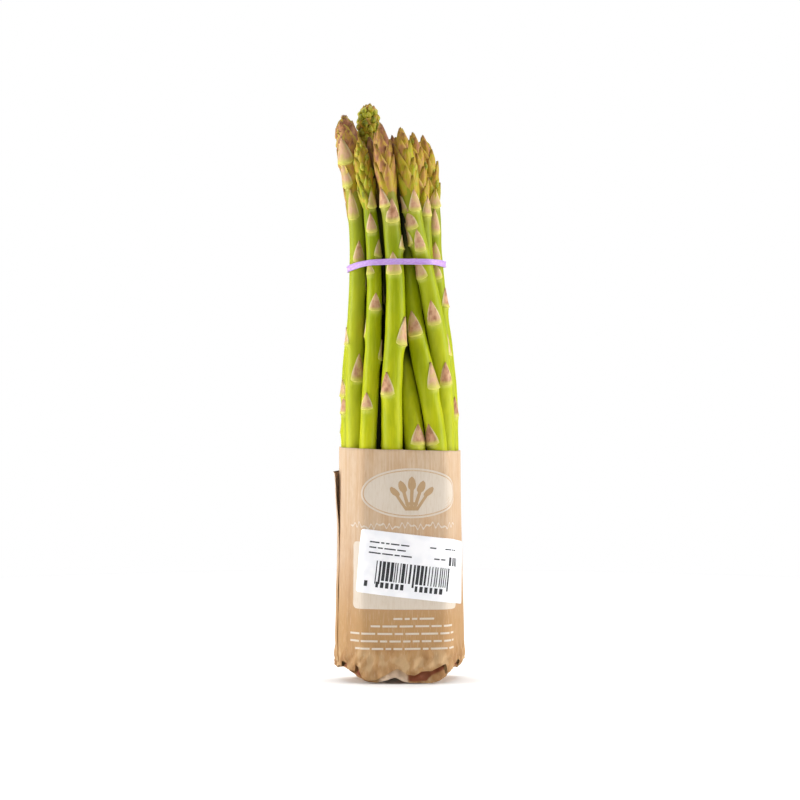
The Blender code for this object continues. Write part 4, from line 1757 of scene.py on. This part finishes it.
@dataclass
class Label:
    """The white adhesive label: a satin card with generic dashes, bars and blocks."""

    surface: PaperSurface
    width: float = 60.0  # mm
    height: float = 28.0  # mm
    corner: float = 1.3  # mm
    turn: float = -6.8  # degrees
    middle: tuple[float, float] = (11.0, 51.0)  # mm round from the front's middle, and up
    proud: float = 0.32  # mm, its face off the paper
    thickness: float = 0.18  # mm
    line: float = 1.15  # mm, the dashes' line height
    bars: tuple[float, float] = (-21.5, 11.5)  # mm from its middle, where the bars run
    bar_height: float = 8.6  # mm
    guard_height: float = 10.2  # mm, the bars at both ends and in the middle
    node: str = "label"

    def card(self) -> bpy.types.Object:
        """Builds the label's card with its rounded corners."""
        marks = Marks(self.surface, self.proud, self.middle, self.turn)
        marks.rounded(0.0, 0.0, self.width, self.height, self.corner, 0.0)
        return thickened(marks.piece("label_card"), self.thickness * MM)

    def ink(self) -> bpy.types.Object:
        """Builds the label's print: rows of dashes, four blocks, bars, and blocks under them."""
        marks = Marks(self.surface, self.proud + 0.04, self.middle, self.turn)
        rng = np.random.default_rng(77)
        for left, right, up, seed in LABEL_LINES:
            marks.dashes(left, right, up, self.line, seed)
        for index in range(4):
            marks.rectangle(11.4 + index * 2.5, 3.9, 1.7 - 0.25 * (index % 2), 3.8)
        x, end = self.bars
        while x < end:
            bar = rng.choice((0.45, 0.45, 0.9, 1.35))
            guard = x < -19.5 or x > 9.8 or abs(x + 4.7) < 0.8
            tall = self.guard_height if guard else self.bar_height
            marks.rectangle(x + bar / 2, -3.4 - (tall - self.bar_height) / 2, bar, tall)
            x += bar + rng.choice((0.45, 0.5, 0.9))
        for index, place in enumerate(LABEL_BLOCKS):
            marks.rectangle(place, -9.6, 1.45 - 0.3 * (index % 3 == 1), 2.5)
        return marks.piece("label_print")

    def build(self) -> None:
        """Builds, dresses and delivers the label."""
        deliver(self.card(), self.node, "label_paper", LabelPaper().build())
        black = Ink("thermal_print_black", "#2a2a2e", "#4a4a50", 0.3)
        deliver(self.ink(), self.node, "label_paper", black.build())


# ---------------------------------------------------------------- rubber band


@dataclass
class Band:
    """The rubber band: a flat cut ring, stretched tight round the stems."""

    node: str = "rubber_band"
    width: float = 2.6  # mm
    thickness: float = 0.9  # mm
    stations: int = 180
    corner: float = 0.28  # mm, the radius of the section's corners
    crown: float = 0.10  # mm, how far the faces bulge
    sway: float = 5.0  # degrees that the band leans to either side
    unevenness: float = 0.05  # of its width

    def course(self) -> np.ndarray:
        """The middle of the band's section all the way round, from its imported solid."""
        solid = CadSolid(self.node)
        middle = (solid.low + solid.high) / 2
        places = []
        for turn in np.arange(0, 360, 3.0):
            bearing = math.radians(turn)
            out = np.array((math.cos(bearing), math.sin(bearing), 0.0))
            cut = solid.cut(middle, np.array((-out[1], out[0], 0.0)))
            near = cut[((cut.mean(axis=1) - middle) @ out) > 0]
            places.append(CadSolid.middle(near)[0])
        return spaced(smoothed_ring(np.array(places), 2, 0.9), self.stations)

    def build(self) -> None:
        """Builds, dresses and delivers the band."""
        course = self.course()
        along = np.roll(course, -1, axis=0) - np.roll(course, 1, axis=0)
        along /= np.linalg.norm(along, axis=1, keepdims=True)
        out = np.stack((along[:, 1], -along[:, 0], np.zeros(len(along))), 1)
        out /= np.linalg.norm(out, axis=1, keepdims=True)
        up = np.cross(out, along)
        turns = np.arange(len(course)) / len(course)
        twist = np.radians(self.sway) * wander(turns, 5, (2, 3))
        breadth = self.width * (1 + self.unevenness * wander(turns, 6, (3, 5, 8)))
        corner, half = self.corner, self.thickness / 2
        profile = []
        for sx, sy in ((1, -1), (1, 1), (-1, 1), (-1, -1)):
            steps = np.linspace(0, math.pi / 2, 4)
            for step in steps if sx * sy < 0 else steps[::-1]:
                profile.append((sx * (half - corner + corner * math.cos(step)),
                                sy * (0.5 - corner / self.width * (1 - math.sin(step)))))
        rows = []
        for x, y in profile:
            a, b = x * MM, y * breadth * MM
            crown = self.crown * MM * (1 - 4 * y * y) * np.sign(x)
            across = (a + crown) * np.cos(twist) - b * np.sin(twist)
            rise = (a + crown) * np.sin(twist) + b * np.cos(twist)
            rows.append(course + out * across[:, None] + up * rise[:, None])
        points = np.vstack(rows)
        sides, count = len(profile), len(course)
        faces = [
            (
                r * count + c,
                r * count + (c + 1) % count,
                (r + 1) % sides * count + (c + 1) % count,
                (r + 1) % sides * count + c,
            )
            for r in range(sides)
            for c in range(count)
        ]
        made = mesh_object("rubber_band_ring", points, faces, 50)
        deliver(made, self.node, "rubber_band", Rubber().build())


# ---------------------------------------------------------------- studio


SOFT_BOXES = (  # name, place and size in metres, and watts
    ("soft_box_left", (-0.62, -0.12, 0.20), (0.35, 0.7), 5.2),
    ("soft_box_right", (0.62, -0.12, 0.20), (0.35, 0.7), 5.2),
    ("soft_box_front", (-0.10, -1.2, 0.45), (0.6, 0.6), 1.6),
    ("soft_box_above", (0.0, 0.75, 1.4), (2.4, 2.4), 40.0),
)


@dataclass
class Studio:
    """A white board, soft boxes on both sides, in front and above, and the camera."""

    distance: float = 0.95  # m
    height: float = 0.125  # m
    lens: float = 95.6  # mm
    target: tuple[float, float, float] = (0.0, 0.0, 0.13)  # m, where the soft boxes point
    board: float = 0.6  # m, the board's radius
    board_sides: int = 96
    sensor: float = 36.0  # mm
    sky: float = 0.08  # how much light the sky gives, where the camera sees it white

    def light(
        self, name: str, place: tuple[float, float, float], size: tuple[float, float], watts: float
    ) -> None:
        """Adds a soft box that faces the bundle's middle."""
        data = bpy.data.lights.new(name, "AREA")
        data.energy, data.shape = watts, "RECTANGLE"
        data.size, data.size_y = size
        lamp = placed(name, data)
        lamp.location = place
        towards = Vector(self.target) - Vector(place)
        lamp.rotation_euler = towards.to_track_quat("-Z", "Y").to_euler()

    def build(self) -> None:
        """Makes the board, the lights, the sky and the camera."""
        scene = bpy.context.scene
        turns = np.arange(self.board_sides) * 2 * math.pi / self.board_sides
        rim = np.stack((np.cos(turns), np.sin(turns), np.zeros(len(turns))), 1) * self.board
        board = mesh_object("studio_board", rim, [tuple(range(self.board_sides))])
        board.data.materials.append(Backdrop().build())
        for name, place, size, watts in SOFT_BOXES:
            self.light(name, place, size, watts)
        world = bpy.data.worlds.new("studio_sky")
        scene.world = world
        world.use_nodes = True
        tree = world.node_tree
        tree.nodes.clear()
        path = add_node(tree, "ShaderNodeLightPath")
        seen = add_node(
            tree, "ShaderNodeMapRange",
            inputs={"Value": path.outputs["Is Camera Ray"], "To Min": self.sky, "To Max": 1.0},
        )
        sky = add_node(
            tree, "ShaderNodeBackground",
            inputs={"Color": (1, 1, 1, 1), "Strength": seen.outputs["Result"]},
        )
        add_node(tree, "ShaderNodeOutputWorld", inputs={"Surface": sky.outputs[0]})
        data = bpy.data.cameras.new("camera")
        data.lens, data.sensor_width = self.lens, self.sensor
        data.clip_start, data.clip_end = 0.01, 50.0
        camera = placed("camera", data)
        camera.location = (0.0, -self.distance, self.height)
        camera.rotation_euler = (math.radians(90), 0, 0)
        scene.camera = camera
        scene.view_settings.view_transform = "Standard"


def main() -> None:
    """Builds the bundle piece by piece, then the studio round it."""
    logging.basicConfig(level=logging.INFO, format="%(message)s")
    spears = tuple(
        Spear(node, head, leaves, tone, blush, girth)
        for node, head, leaves, tone, blush, girth in SPEARS
    )
    SpearSet(spears).build()
    surface = PaperSurface("paper_sleeve")
    Sleeve(surface).build()
    Label(surface).build()
    Band().build()
    Studio().build()


if __name__ == "__main__":
    main()
